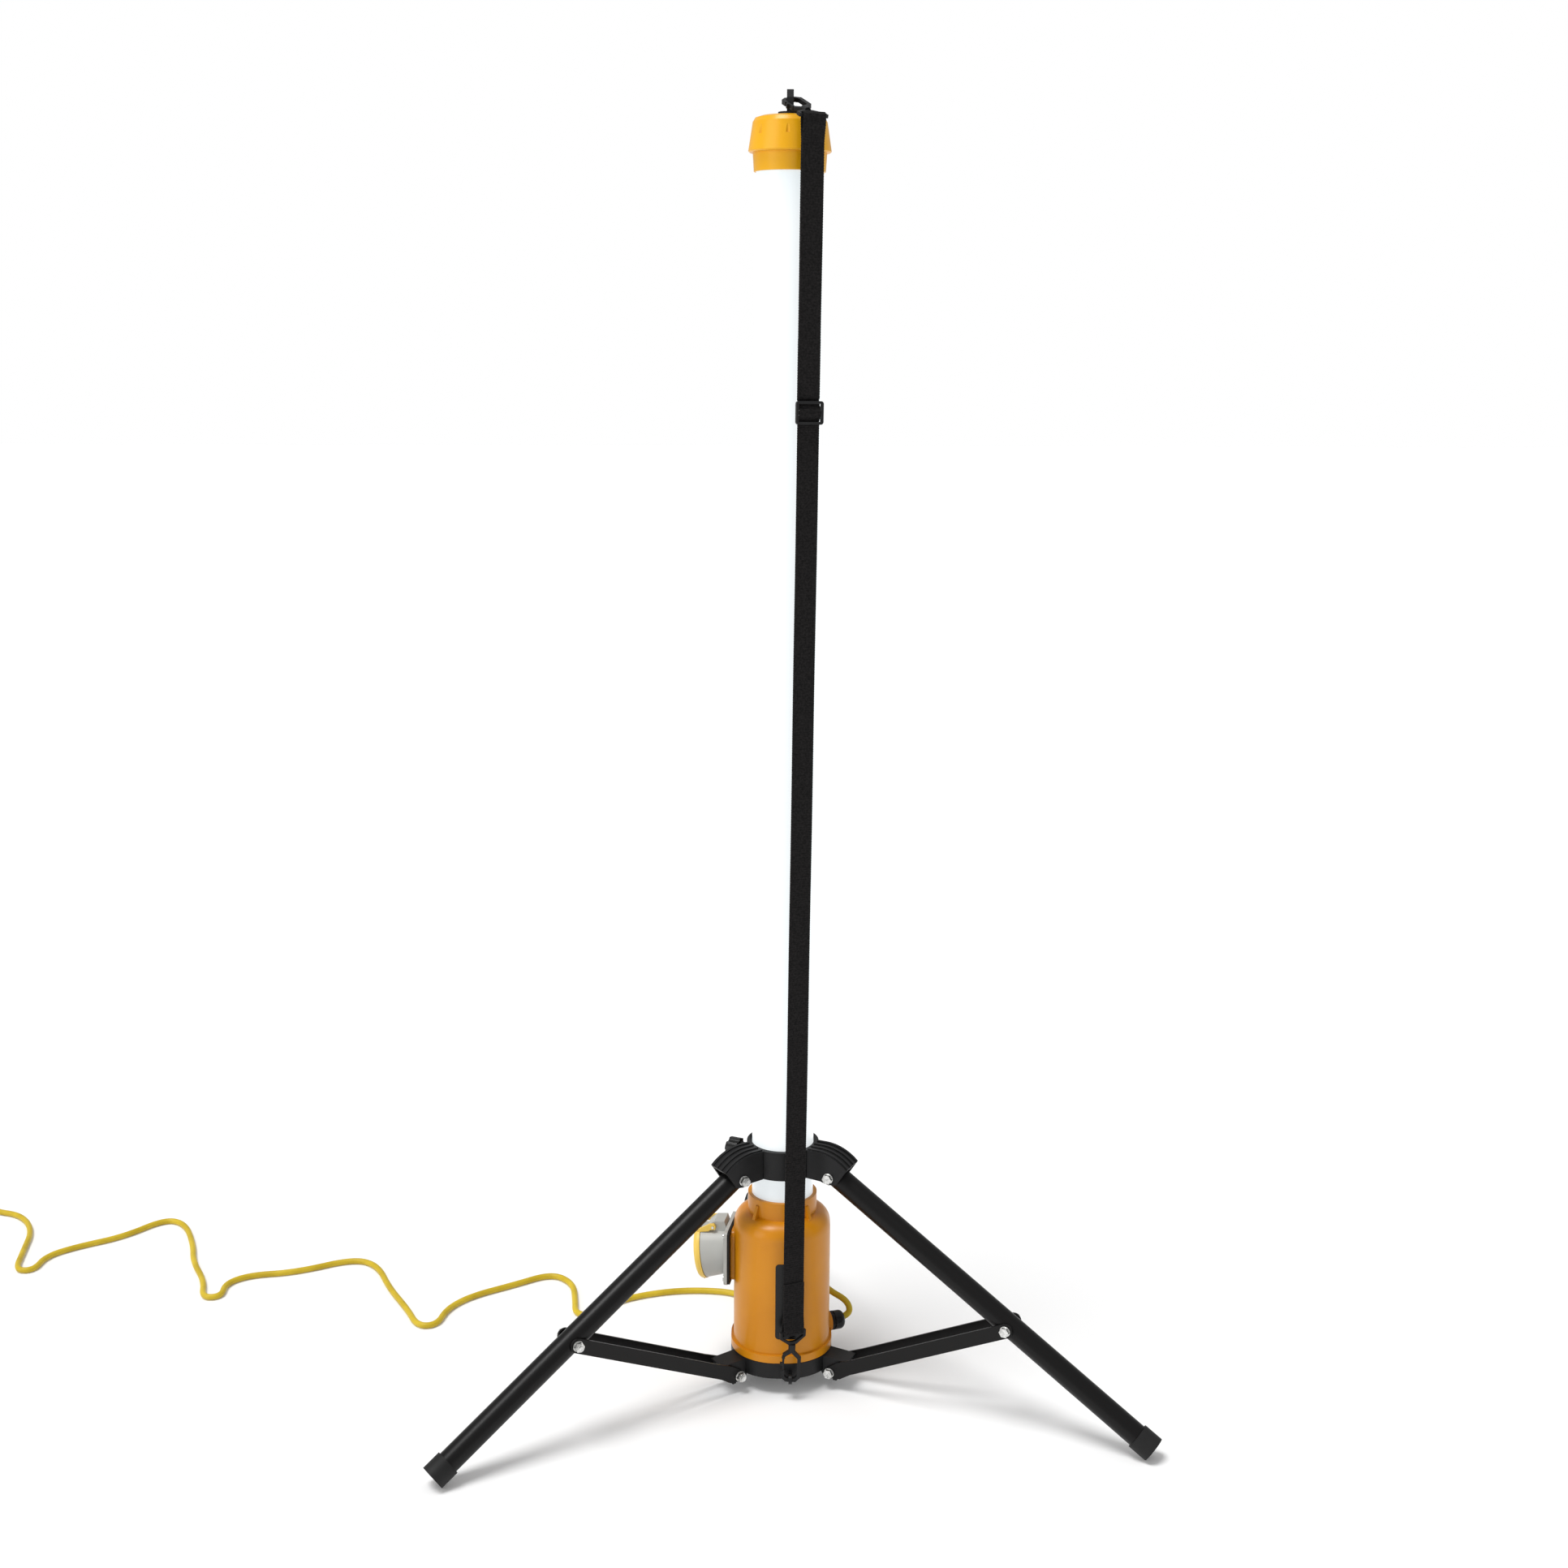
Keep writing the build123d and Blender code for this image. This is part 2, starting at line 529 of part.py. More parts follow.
with BuildPart() as collar:
    with BuildSketch(Plane.XY.offset(COLLAR_BOTTOM_Z)):
        Circle(COLLAR_RING_R)
    extrude(amount=COLLAR_TOP_Z - COLLAR_BOTTOM_Z)
    for azimuth in LEG_AZIMUTHS:
        with BuildSketch(radial_plane(azimuth)):
            with BuildLine():
                Line((arm_ring_r, COLLAR_BOTTOM_Z), (COLLAR_PIVOT_R - 10.0, COLLAR_BOTTOM_Z - 0.8))
                Line((COLLAR_PIVOT_R - 10.0, COLLAR_BOTTOM_Z - 0.8), (COLLAR_PIVOT_R, COLLAR_PIVOT_Z - ARM_LUG_R))
                Line((COLLAR_PIVOT_R, COLLAR_PIVOT_Z - ARM_LUG_R), (COLLAR_PIVOT_R + 5.0, COLLAR_PIVOT_Z - ARM_LUG_R + 0.6))
                Line((COLLAR_PIVOT_R + 5.0, COLLAR_PIVOT_Z - ARM_LUG_R + 0.6), arm_end_low)
                Line(arm_end_low, arm_end_top)
                ThreePointArc(arm_end_top, (69.5, 284.6), (50.0, COLLAR_TOP_Z))
                Line((50.0, COLLAR_TOP_Z), (arm_ring_r, COLLAR_TOP_Z))
                Line((arm_ring_r, COLLAR_TOP_Z), (arm_ring_r, COLLAR_BOTTOM_Z))
            make_face()
        extrude(amount=ARM_OUTER, both=True)
        # ribs moulded along the arch
        for rib in (-1.5, -0.5, 0.5, 1.5):
            with BuildSketch(radial_plane(azimuth).offset(rib * 8.6)):
                with BuildLine():
                    ThreePointArc(
                        (arm_end_top[0] + 0.9, arm_end_top[1] + 1.0), (70.1, 286.0), (50.0, COLLAR_TOP_Z + ARM_RIB_HEIGHT)
                    )
                    Line((50.0, COLLAR_TOP_Z + ARM_RIB_HEIGHT), (COLLAR_RING_R - 3.0, COLLAR_TOP_Z + ARM_RIB_HEIGHT))
                    Line((COLLAR_RING_R - 3.0, COLLAR_TOP_Z + ARM_RIB_HEIGHT), (COLLAR_RING_R - 3.0, COLLAR_TOP_Z - 5.0))
                    Line((COLLAR_RING_R - 3.0, COLLAR_TOP_Z - 5.0), (66.0, 280.0))
                    Line((66.0, 280.0), (arm_end_top[0] + 0.9, arm_end_top[1] + 1.0))
                make_face()
            extrude(amount=ARM_RIB_WIDTH / 2, both=True)
    # boss for the clamp knob, and the lip that rises round the back of the tube
    knob_land = Plane(
        origin=at_radius(KNOB_AZIMUTH, TUBE_R + 2.0, KNOB_Z),
        x_dir=direction(KNOB_AZIMUTH + 90),
        z_dir=direction(KNOB_AZIMUTH),
    )
    with BuildSketch(knob_land):
        Circle(BOSS_R)
    extrude(amount=BOSS_REACH - TUBE_R - 2.0)
    with BuildSketch(Plane.XY.offset(COLLAR_TOP_Z)):
        Circle(TUBE_R + COLLAR_SLIDE_GAP + REAR_LIP_T)
        with Locations((0, REAR_LIP_FRONT_Y - 2 * TUBE_R)):
            Rectangle(4 * TUBE_R, 4 * TUBE_R, mode=Mode.SUBTRACT)
    extrude(amount=REAR_LIP_HEIGHT)
    for azimuth in LEG_AZIMUTHS:
        # hollow under the arch: the leg swings in it, between the side walls
        with BuildSketch(radial_plane(azimuth)):
            with BuildLine():
                Line((COLLAR_RING_R + 1.5, COLLAR_BOTTOM_Z - 12.0), skin_end)
                Line(skin_end, (skin_end[0] - 1.2, skin_end[1] + 0.7))
                ThreePointArc((skin_end[0] - 1.2, skin_end[1] + 0.7), (68.0, 281.0), (50.0, COLLAR_TOP_Z - ARM_SKIN))
                Line((50.0, COLLAR_TOP_Z - ARM_SKIN), (COLLAR_RING_R + 1.5, COLLAR_TOP_Z - ARM_SKIN))
                Line((COLLAR_RING_R + 1.5, COLLAR_TOP_Z - ARM_SKIN), (COLLAR_RING_R + 1.5, COLLAR_BOTTOM_Z - 12.0))
            make_face()
            with BuildLine():
                Polyline(
                    (COLLAR_RING_R + 1.5, COLLAR_BOTTOM_Z - 12.0),
                    skin_end,
                    (skin_end[0] + 20.0, skin_end[1] - 13.0),
                    (COLLAR_PIVOT_R + 20.0, COLLAR_BOTTOM_Z - 12.0),
                    close=True,
                )
            make_face()
        extrude(amount=ARM_INNER, both=True, mode=Mode.SUBTRACT)
        with BuildSketch(radial_plane(azimuth)):
            with Locations((COLLAR_PIVOT_R, COLLAR_PIVOT_Z)):
                Circle(BOLT_R + BOLT_CLEARANCE)
        extrude(amount=ARM_OUTER + 5.0, both=True, mode=Mode.SUBTRACT)
    with BuildSketch(Plane.XY.offset(COLLAR_BOTTOM_Z - 5.0)):
        Circle(TUBE_R + COLLAR_SLIDE_GAP)
    extrude(amount=80.0, mode=Mode.SUBTRACT)
    with BuildSketch(knob_land):
        Circle(KNOB_THREAD_R + BOLT_CLEARANCE)
    extrude(amount=60.0, both=True, mode=Mode.SUBTRACT)
finish(collar, "collar")

bolt_set(LEG_AZIMUTHS, (COLLAR_PIVOT_R, COLLAR_PIVOT_Z), ARM_OUTER, "collar_bolts")

KNOB_R = 14.0
KNOB_T = 14.0
KNOB_GAP = 1.5
knob_plane = Plane(
    origin=at_radius(KNOB_AZIMUTH, BOSS_REACH + KNOB_GAP, KNOB_Z),
    x_dir=direction(KNOB_AZIMUTH + 90),
    z_dir=direction(KNOB_AZIMUTH),
)
with BuildPart() as clamp_knob:
    with BuildSketch(knob_plane):
        Circle(KNOB_R)
        with PolarLocations(KNOB_R + 2.6, 5):
            Circle(5.0, mode=Mode.SUBTRACT)
    extrude(amount=KNOB_T)
    fillet(faces().sort_by(Axis(knob_plane.origin, knob_plane.z_dir))[-1].edges(), 1.5)
    with BuildSketch(knob_plane):
        Circle(KNOB_THREAD_R)
    extrude(amount=8.0, mode=Mode.SUBTRACT)
finish(clamp_knob, "clamp_knob")

with BuildPart() as clamp_screw:
    with BuildSketch(knob_plane.offset(8.0)):
        Circle(KNOB_THREAD_R)
    extrude(amount=-(BOSS_REACH + KNOB_GAP + 8.0 - TUBE_R - COLLAR_SLIDE_GAP - 1.0))
finish(clamp_screw, "clamp_screw")

# ===== legs, feet and braces ===================================================================
for number, azimuth in enumerate(LEG_AZIMUTHS, start=1):
    plane = radial_plane(azimuth)
    outward = direction(azimuth)
    leg_axis = Vector(outward.X * LEG_DIR[0], outward.Y * LEG_DIR[0], LEG_DIR[1])
    across_leg = outward.cross(Vector(0, 0, 1))
    leg_top = on_leg(-LEG_END_CLEARANCE)
    leg_plane = Plane(origin=at_radius(azimuth, leg_top[0], leg_top[1]), x_dir=across_leg, z_dir=leg_axis)

    with BuildPart() as leg_tube:
        with BuildSketch(leg_plane):
            Circle(LEG_TUBE_R)
            Circle(LEG_TUBE_R - LEG_WALL, mode=Mode.SUBTRACT)
        extrude(amount=LEG_BOTTOM_OF_TUBE + LEG_END_CLEARANCE)
        for along in (0.0, LEG_TO_BRACE):
            with BuildSketch(plane):
                with Locations(on_leg(along)):
                    Circle(BOLT_R + BOLT_CLEARANCE)
            extrude(amount=LEG_TUBE_R + 1.0, both=True, mode=Mode.SUBTRACT)
    finish(leg_tube, f"leg_tube_{number}")

    foot_plane = leg_plane.offset(LEG_END_CLEARANCE + LEG_LENGTH - FOOT_CAP_LENGTH)
    with BuildPart() as foot_cap:
        with BuildSketch(foot_plane):
            Circle(FOOT_CAP_R)
        extrude(amount=FOOT_CAP_LENGTH)
        with BuildSketch(foot_plane):
            Circle(LEG_TUBE_R + 0.03)
        extrude(amount=FOOT_CAP_LENGTH - FOOT_SOLE, mode=Mode.SUBTRACT)
    finish(foot_cap, f"foot_cap_{number}")

    bolt_set([azimuth], BRACE_END, BAR_OUTER, f"leg_bolt_{number}")
    bolt_set([azimuth], (BRACE_PIVOT_R, BRACE_PIVOT_Z), BAR_OUTER, f"base_bolt_{number}")

    with BuildPart() as brace:
        for side in (1, -1):
            with BuildSketch(plane.offset(side * BAR_INNER)):
                with BuildLine():
                    end_top = on_brace(BRACE_LENGTH, BAR_HALF_HEIGHT)
                    end_tip = on_brace(BRACE_LENGTH + BAR_HALF_HEIGHT)
                    end_low = on_brace(BRACE_LENGTH, -BAR_HALF_HEIGHT)
                    Line(on_brace(34.0, BAR_HALF_HEIGHT), end_top)
                    ThreePointArc(end_top, end_tip, end_low)
                    Polyline(
                        end_low,
                        on_brace(24.0, -BAR_HALF_HEIGHT),
                        on_brace(10.0, -10.2),
                        on_brace(-4.5, -5.2),
                        on_brace(-5.5, 0.0),
                        on_brace(-1.0, 6.6),
                        on_brace(16.0, 9.0),
                        on_brace(34.0, BAR_HALF_HEIGHT),
                    )
                make_face()
                with Locations((BRACE_PIVOT_R, BRACE_PIVOT_Z), BRACE_END):
                    Circle(BOLT_R + BOLT_CLEARANCE, mode=Mode.SUBTRACT)
            extrude(amount=side * BAR_T)
    finish(brace, f"brace_{number}")

# ===== socket ==================================================================================
socket_out = direction(SOCKET_AZIMUTH)
socket_across = direction(SOCKET_AZIMUTH - 90)


def socket_plane(distance):
    """Upright plane facing out of the housing, at a distance from the tube's axis."""
    return Plane(origin=at_radius(SOCKET_AZIMUTH, distance, SOCKET_Z), x_dir=socket_across, z_dir=socket_out)


GASKET_OUT = SOCKET_FACE + SOCKET_GASKET_T
PLATE_OUT = GASKET_OUT + SOCKET_PLATE_T
SCREW_SPACING = 52.0
with BuildPart() as socket_gasket:
    with BuildSketch(socket_plane(SOCKET_FACE)):
        RectangleRounded(SOCKET_PLATE - 1.0, SOCKET_PLATE - 1.0, 6.0)
        Circle(SOCKET_CABLE_R, mode=Mode.SUBTRACT)
    extrude(amount=SOCKET_GASKET_T)
finish(socket_gasket, "socket_gasket")

barrel_axis = Vector(
    socket_out.X * cos(radians(SOCKET_TILT)), socket_out.Y * cos(radians(SOCKET_TILT)), -sin(radians(SOCKET_TILT))
)
barrel_plane = Plane(
    origin=at_radius(SOCKET_AZIMUTH, PLATE_OUT - 6.0, SOCKET_Z + 1.0), x_dir=socket_across, z_dir=barrel_axis
)
BARREL_BORE_R = 22.5
with BuildPart() as socket_body:
    with BuildSketch(socket_plane(GASKET_OUT)):
        RectangleRounded(SOCKET_PLATE, SOCKET_PLATE, 6.0)
        with GridLocations(SCREW_SPACING, SCREW_SPACING, 2, 2):
            Circle(2.1, mode=Mode.SUBTRACT)
    extrude(amount=SOCKET_PLATE_T)
    with BuildSketch(barrel_plane.offset(3.0)):
        Circle(BARREL_R - 2.5)
    with BuildSketch(barrel_plane.offset(BARREL_LENGTH + 6.0)):
        Circle(BARREL_R + 1.5)
    loft()
    split(bisect_by=socket_plane(GASKET_OUT), keep=Keep.TOP)
    with BuildSketch(barrel_plane.offset(10.0)):
        Circle(BARREL_BORE_R)
    extrude(amount=BARREL_LENGTH, mode=Mode.SUBTRACT)
    # hinge block above the barrel
    with BuildSketch(radial_plane(SOCKET_AZIMUTH)):
        with BuildLine():
            Polyline(
                (PLATE_OUT - 1.0, SOCKET_Z + 26.0),
                (PLATE_OUT + 3.0, SOCKET_Z + 38.0),
                (PLATE_OUT + 15.0, SOCKET_Z + 37.0),
                (PLATE_OUT + 23.0, SOCKET_Z + 31.0),
                (PLATE_OUT + 23.0, SOCKET_Z + 24.0),
                close=True,
            )
        make_face()
        with Locations((PLATE_OUT + 16.0, SOCKET_Z + 31.0)):
            Circle(1.6, mode=Mode.SUBTRACT)
    extrude(amount=12.0, both=True)
finish(socket_body, "socket_body")

HINGE_PIN = (PLATE_OUT + 16.0, SOCKET_Z + 31.0)
LID_BACK = BARREL_LENGTH + 6.3
with BuildPart() as lid_pin:
    with BuildSketch(radial_plane(SOCKET_AZIMUTH)):
        with Locations(HINGE_PIN):
            Circle(1.5)
    extrude(amount=16.5, both=True)
finish(lid_pin, "lid_pin")

with BuildPart() as socket_lid:
    with BuildSketch(barrel_plane.offset(LID_BACK)):
        Circle(BARREL_R + 2.3)
    extrude(amount=LID_T)
    fillet(faces().sort_by(Axis(barrel_plane.origin, barrel_plane.z_dir))[-1].edges(), 5.0)
    with BuildSketch(barrel_plane.offset(LID_BACK)):
        Circle(BARREL_R - 2.0)
    extrude(amount=3.0, mode=Mode.SUBTRACT)
    for side in (1, -1):
        with BuildSketch(radial_plane(SOCKET_AZIMUTH).offset(side * 12.4)):
            with BuildLine():
                Polyline(
                    (HINGE_PIN[0] - 3.6, HINGE_PIN[1] + 1.0),
                    (HINGE_PIN[0] - 1.5, HINGE_PIN[1] + 4.0),
                    (HINGE_PIN[0] + 4.0, HINGE_PIN[1] + 3.6),
                    (PLATE_OUT + 34.5, SOCKET_Z + 26.5),
                    (PLATE_OUT + 34.5, SOCKET_Z + 17.0),
                    (PLATE_OUT + 26.4, SOCKET_Z + 20.0),
                    (HINGE_PIN[0] + 3.0, HINGE_PIN[1] - 3.2),
                    (HINGE_PIN[0] - 3.0, HINGE_PIN[1] - 2.6),
                    close=True,
                )
            make_face()
            with Locations(HINGE_PIN):
                Circle(1.6, mode=Mode.SUBTRACT)
        extrude(amount=side * 3.5)
    with BuildSketch(barrel_plane.offset(10.0)):
        Circle(BARREL_R + 2.1)
    extrude(amount=LID_BACK - 10.0, mode=Mode.SUBTRACT)
    # thumb lip under the lid
    with BuildSketch(radial_plane(SOCKET_AZIMUTH)):
        with BuildLine():
            Polyline(
                (PLATE_OUT + 23.5, SOCKET_Z - 32.6),
                (PLATE_OUT + 30.0, SOCKET_Z - 30.0),
                (PLATE_OUT + 31.0, SOCKET_Z - 35.5),
                (PLATE_OUT + 27.0, SOCKET_Z - 38.0),
                close=True,
            )
        make_face()
    extrude(amount=7.0, both=True)
finish(socket_lid, "socket_lid")

CONTACT_CIRCLE_R = 10.5
CONTACT_R = 2.6
with BuildPart() as socket_insert:
    with BuildSketch(barrel_plane.offset(10.0)):
        Circle(17.5)
        with PolarLocations(CONTACT_CIRCLE_R, 3, start_angle=90):
            Circle(CONTACT_R + 0.05, mode=Mode.SUBTRACT)
    extrude(amount=19.0)
finish(socket_insert, "socket_insert")

with BuildPart() as socket_contacts:
    with BuildSketch(barrel_plane.offset(10.0)):
        with PolarLocations(CONTACT_CIRCLE_R, 3, start_angle=90):
            Circle(CONTACT_R)
            Circle(CONTACT_R - 0.9, mode=Mode.SUBTRACT)
    extrude(amount=17.0)
finish(socket_contacts, "socket_contacts")

with BuildPart() as socket_screws:
    with BuildSketch(socket_plane(PLATE_OUT)):
        with GridLocations(SCREW_SPACING, SCREW_SPACING, 2, 2):
            Circle(3.4)
    extrude(amount=1.8)
    with BuildSketch(socket_plane(PLATE_OUT)):
        with GridLocations(SCREW_SPACING, SCREW_SPACING, 2, 2):
            Circle(2.0)
    extrude(amount=-SOCKET_PLATE_T)
finish(socket_screws, "socket_screws")

# ===== cord gland ==============================================================================
def gland_plane(distance):
    """Upright plane across the gland, at a distance from the tube's axis."""
    return gland_land.offset(distance - GLAND_SEAT_R + 15.0)


GLAND_FLANGE_T = 4.5
GLAND_NUT_LENGTH = 12.5
CORD_FIT = 0.15
with BuildPart() as gland_body:
    with BuildSketch(gland_plane(GLAND_SEAT_R)):
        RegularPolygon(GLAND_R, 6)
    extrude(amount=GLAND_FLANGE_T)
    with BuildSketch(gland_plane(GLAND_SEAT_R - 12.0)):
        Circle(GLAND_THREAD_R)
    extrude(amount=12.0)
    with BuildSketch(gland_plane(GLAND_SEAT_R - 12.0)):
        Circle(CORD_R + 2.0)
    extrude(amount=30.0, mode=Mode.SUBTRACT)
finish(gland_body, "gland_body")

with BuildPart() as gland_dome:
    with BuildSketch(gland_plane(GLAND_SEAT_R + GLAND_FLANGE_T)):
        Circle(GLAND_R)
    extrude(amount=GLAND_NUT_LENGTH)
    fillet(faces().sort_by(Axis(gland_land.origin, gland_land.z_dir))[-1].edges(), 6.0)
    with BuildSketch(gland_plane(GLAND_SEAT_R)):
        Circle(CORD_R + CORD_FIT)
    extrude(amount=30.0, mode=Mode.SUBTRACT)
finish(gland_dome, "gland_dome")

with BuildPart() as gland_seal:
    with BuildSketch(gland_plane(GLAND_SEAT_R - 8.0)):
        Circle(CORD_R + 2.0)
        Circle(CORD_R, mode=Mode.SUBTRACT)
    extrude(amount=8.0 + GLAND_FLANGE_T)
finish(gland_seal, "gland_seal")

# ===== carrying strap ==========================================================================
strap_up = (STRAP_TOP - STRAP_BOTTOM).normalized()
strap_side = strap_up.cross(direction(STRAP_FACING)).normalized()
strap_face = strap_side.cross(strap_up)
STRAP_RUN = (STRAP_TOP - STRAP_BOTTOM).length
strap_plane = Plane(origin=STRAP_BOTTOM, x_dir=strap_face, z_dir=strap_face.cross(strap_up))
BUCKLE_Y = (BUCKLE_Z - STRAP_BOTTOM.Z) / strap_up.Z
LOOP_R = 0.75 * HOOK_BAR + WEB_T / 2
LAYER = WEB_T + 0.05
HEM = 60.0
BUCKLE_HALF = 12.0
BUCKLE_BACK = WEB_T / 2 + 0.2
BUCKLE_BAR_T = 1.6
BUCKLE_T = 3.2
OVER_BAR = BUCKLE_BACK + BUCKLE_BAR_T + WEB_T / 2 + 0.1
SPLIT_Y = BUCKLE_Y + BUCKLE_HALF + 2.0

# the lower length is hemmed round the lower hook's bar and woven through the buckle
with BuildPart() as strap_lower:
    with BuildSketch(strap_plane):
        with BuildLine():
            Line((LAYER, HEM), (LAYER, 20.0))
            Line((LAYER, 20.0), (LOOP_R, 6.0))
            Line((LOOP_R, 6.0), (LOOP_R, 0))
            ThreePointArc((LOOP_R, 0), (0, -LOOP_R), (-LOOP_R, 0))
            Line((-LOOP_R, 0), (-LOOP_R, 6.0))
            Line((-LOOP_R, 6.0), (0, 20.0))
            Line((0, 20.0), (0, BUCKLE_Y - 8.5))
            Line((0, BUCKLE_Y - 8.5), (OVER_BAR, BUCKLE_Y - 2.8))
            Line((OVER_BAR, BUCKLE_Y - 2.8), (OVER_BAR, BUCKLE_Y + 2.8))
            Line((OVER_BAR, BUCKLE_Y + 2.8), (0, BUCKLE_Y + 8.5))
            Line((0, BUCKLE_Y + 8.5), (-LAYER, SPLIT_Y - 1.0))
            Line((-LAYER, SPLIT_Y - 1.0), (-LAYER, SPLIT_Y))
        trace(line_width=WEB_T)
    extrude(amount=WEB_WIDTH / 2, both=True)
finish(strap_lower, "strap_lower")

# above the buckle the webbing is double and loops over the upper hook's bar
with BuildPart() as strap_upper:
    with BuildSketch(strap_plane):
        with BuildLine():
            Line((-LAYER, SPLIT_Y), (-LAYER, STRAP_RUN - 24.0))
            Line((-LAYER, STRAP_RUN - 24.0), (-LOOP_R, STRAP_RUN - 6.0))
            Line((-LOOP_R, STRAP_RUN - 6.0), (-LOOP_R, STRAP_RUN))
            ThreePointArc((-LOOP_R, STRAP_RUN), (0, STRAP_RUN + LOOP_R), (LOOP_R, STRAP_RUN))
            Line((LOOP_R, STRAP_RUN), (LOOP_R, STRAP_RUN - 6.0))
            Line((LOOP_R, STRAP_RUN - 6.0), (0, STRAP_RUN - 24.0))
            Line((0, STRAP_RUN - 24.0), (0, SPLIT_Y))
        trace(line_width=WEB_T)
    extrude(amount=WEB_WIDTH / 2, both=True)
finish(strap_upper, "strap_upper")

buckle_plane = Plane(
    origin=STRAP_BOTTOM + strap_up * BUCKLE_Y + strap_face * BUCKLE_BACK, x_dir=strap_side, z_dir=strap_face
)
BUCKLE_WIDTH = WEB_WIDTH + 6.0
with BuildPart() as strap_buckle:
    with BuildSketch(buckle_plane):
        RectangleRounded(BUCKLE_WIDTH, 2 * BUCKLE_HALF, 3.0)
        with GridLocations(1, 2 * BUCKLE_HALF - 12.8, 1, 2):
            Rectangle(WEB_WIDTH + 0.8, 7.0, mode=Mode.SUBTRACT)
    extrude(amount=BUCKLE_T)
    with BuildSketch(buckle_plane.offset(BUCKLE_BAR_T)):
        Rectangle(WEB_WIDTH + 0.8, 6.0)
    extrude(amount=BUCKLE_T, mode=Mode.SUBTRACT)
finish(strap_buckle, "strap_buckle")

# ===== swivel snap hooks =======================================================================
SWIVEL_Y = 14.3
SWIVEL_END_Y = 24.0
SWIVEL_R = 4.0
SWIVEL_PIN_R = 2.2
HOOK_BEND = 4.0
NOSE_Y = HOOK_LENGTH - HOOK_HALF - 3.0
GATE_PIVOT_Y = 31.0
GATE_T = 2.4
HOOK_THICK = 4.5
LOOP_HALF = WEB_WIDTH / 2 + 0.4
hook_ends = {
    "top": (STRAP_TOP, Vector(0, 0, EYE_HOLE_Z)),
    "bottom": (STRAP_BOTTOM, Vector(4.5, -69.3, 26.0)),
}
gate_pivots = {}
for name, (bar_middle, eye_middle) in hook_ends.items():
    run = (eye_middle - bar_middle).normalized()
    side = direction(HOOK_AZIMUTH)
    side = (side - run * side.dot(run)).normalized()
    bar_side = (strap_side - run * strap_side.dot(run)).normalized()
    if bar_side.dot(side) < 0:
        bar_side = bar_side * -1
    far_middle = eye_middle - run * HOOK_LENGTH
    loop_plane = Plane(origin=far_middle, x_dir=bar_side, z_dir=bar_side.cross(run))
    hook_plane = Plane(origin=far_middle, x_dir=side, z_dir=side.cross(run))
    across_plane = Plane(origin=far_middle, x_dir=side, z_dir=run)

    with BuildPart() as loop:
        with BuildSketch(loop_plane):
            with BuildLine():
                Polyline(
                    (-LOOP_HALF - 3.0, -HOOK_BAR / 2),
                    (LOOP_HALF + 3.0, -HOOK_BAR / 2),
                    (LOOP_HALF + 3.0, 6.0),
                    (5.0, SWIVEL_Y - 0.2),
                    (-5.0, SWIVEL_Y - 0.2),
                    (-LOOP_HALF - 3.0, 6.0),
                    close=True,
                )
            make_face()
            with BuildLine():
                Polyline(
                    (-LOOP_HALF, HOOK_BAR / 2),
                    (LOOP_HALF, HOOK_BAR / 2),
                    (LOOP_HALF, 5.0),
                    (4.0, SWIVEL_Y - 3.7),
                    (-4.0, SWIVEL_Y - 3.7),
                    (-LOOP_HALF, 5.0),
                    close=True,
                )
            make_face(mode=Mode.SUBTRACT)
        extrude(amount=HOOK_BAR / 2, both=True)
        with BuildSketch(across_plane.offset(SWIVEL_Y - 3.0)):
            Circle(SWIVEL_PIN_R)
        extrude(amount=SWIVEL_END_Y - SWIVEL_Y - 1.0)
    finish(loop, f"strap_loop_{name}")

    with BuildPart() as hook:
        with BuildSketch(across_plane.offset(SWIVEL_Y)):
            Circle(SWIVEL_R)
        extrude(amount=SWIVEL_END_Y - SWIVEL_Y)
        with BuildSketch(hook_plane):
            with BuildLine():
                Line((0, SWIVEL_END_Y - 2.0), (HOOK_HALF, GATE_PIVOT_Y))
                Line((HOOK_HALF, GATE_PIVOT_Y), (HOOK_HALF, HOOK_LENGTH - HOOK_BEND))
                Line((HOOK_HALF, HOOK_LENGTH - HOOK_BEND), (HOOK_HALF - HOOK_BEND, HOOK_LENGTH))
                Line((HOOK_HALF - HOOK_BEND, HOOK_LENGTH), (HOOK_BEND - HOOK_HALF, HOOK_LENGTH))
                Line((HOOK_BEND - HOOK_HALF, HOOK_LENGTH), (-HOOK_HALF, HOOK_LENGTH - HOOK_BEND))
                Line((-HOOK_HALF, HOOK_LENGTH - HOOK_BEND), (-HOOK_HALF, NOSE_Y))
            trace(line_width=HOOK_WIRE)
            with BuildLine():
                Line((0, SWIVEL_END_Y - 2.0), (-HOOK_HALF, GATE_PIVOT_Y - 2.6))
            trace(line_width=HOOK_WIRE)
        extrude(amount=HOOK_THICK / 2, both=True)
        with BuildSketch(across_plane.offset(SWIVEL_Y - 1.0)):
            Circle(SWIVEL_PIN_R + 0.1)
        extrude(amount=SWIVEL_END_Y - SWIVEL_Y - 0.8, mode=Mode.SUBTRACT)
        with BuildSketch(hook_plane):
            with Locations((-HOOK_HALF, GATE_PIVOT_Y)):
                Circle(2.2)
        extrude(amount=HOOK_THICK, both=True, mode=Mode.SUBTRACT)
    finish(hook, f"hook_{name}")

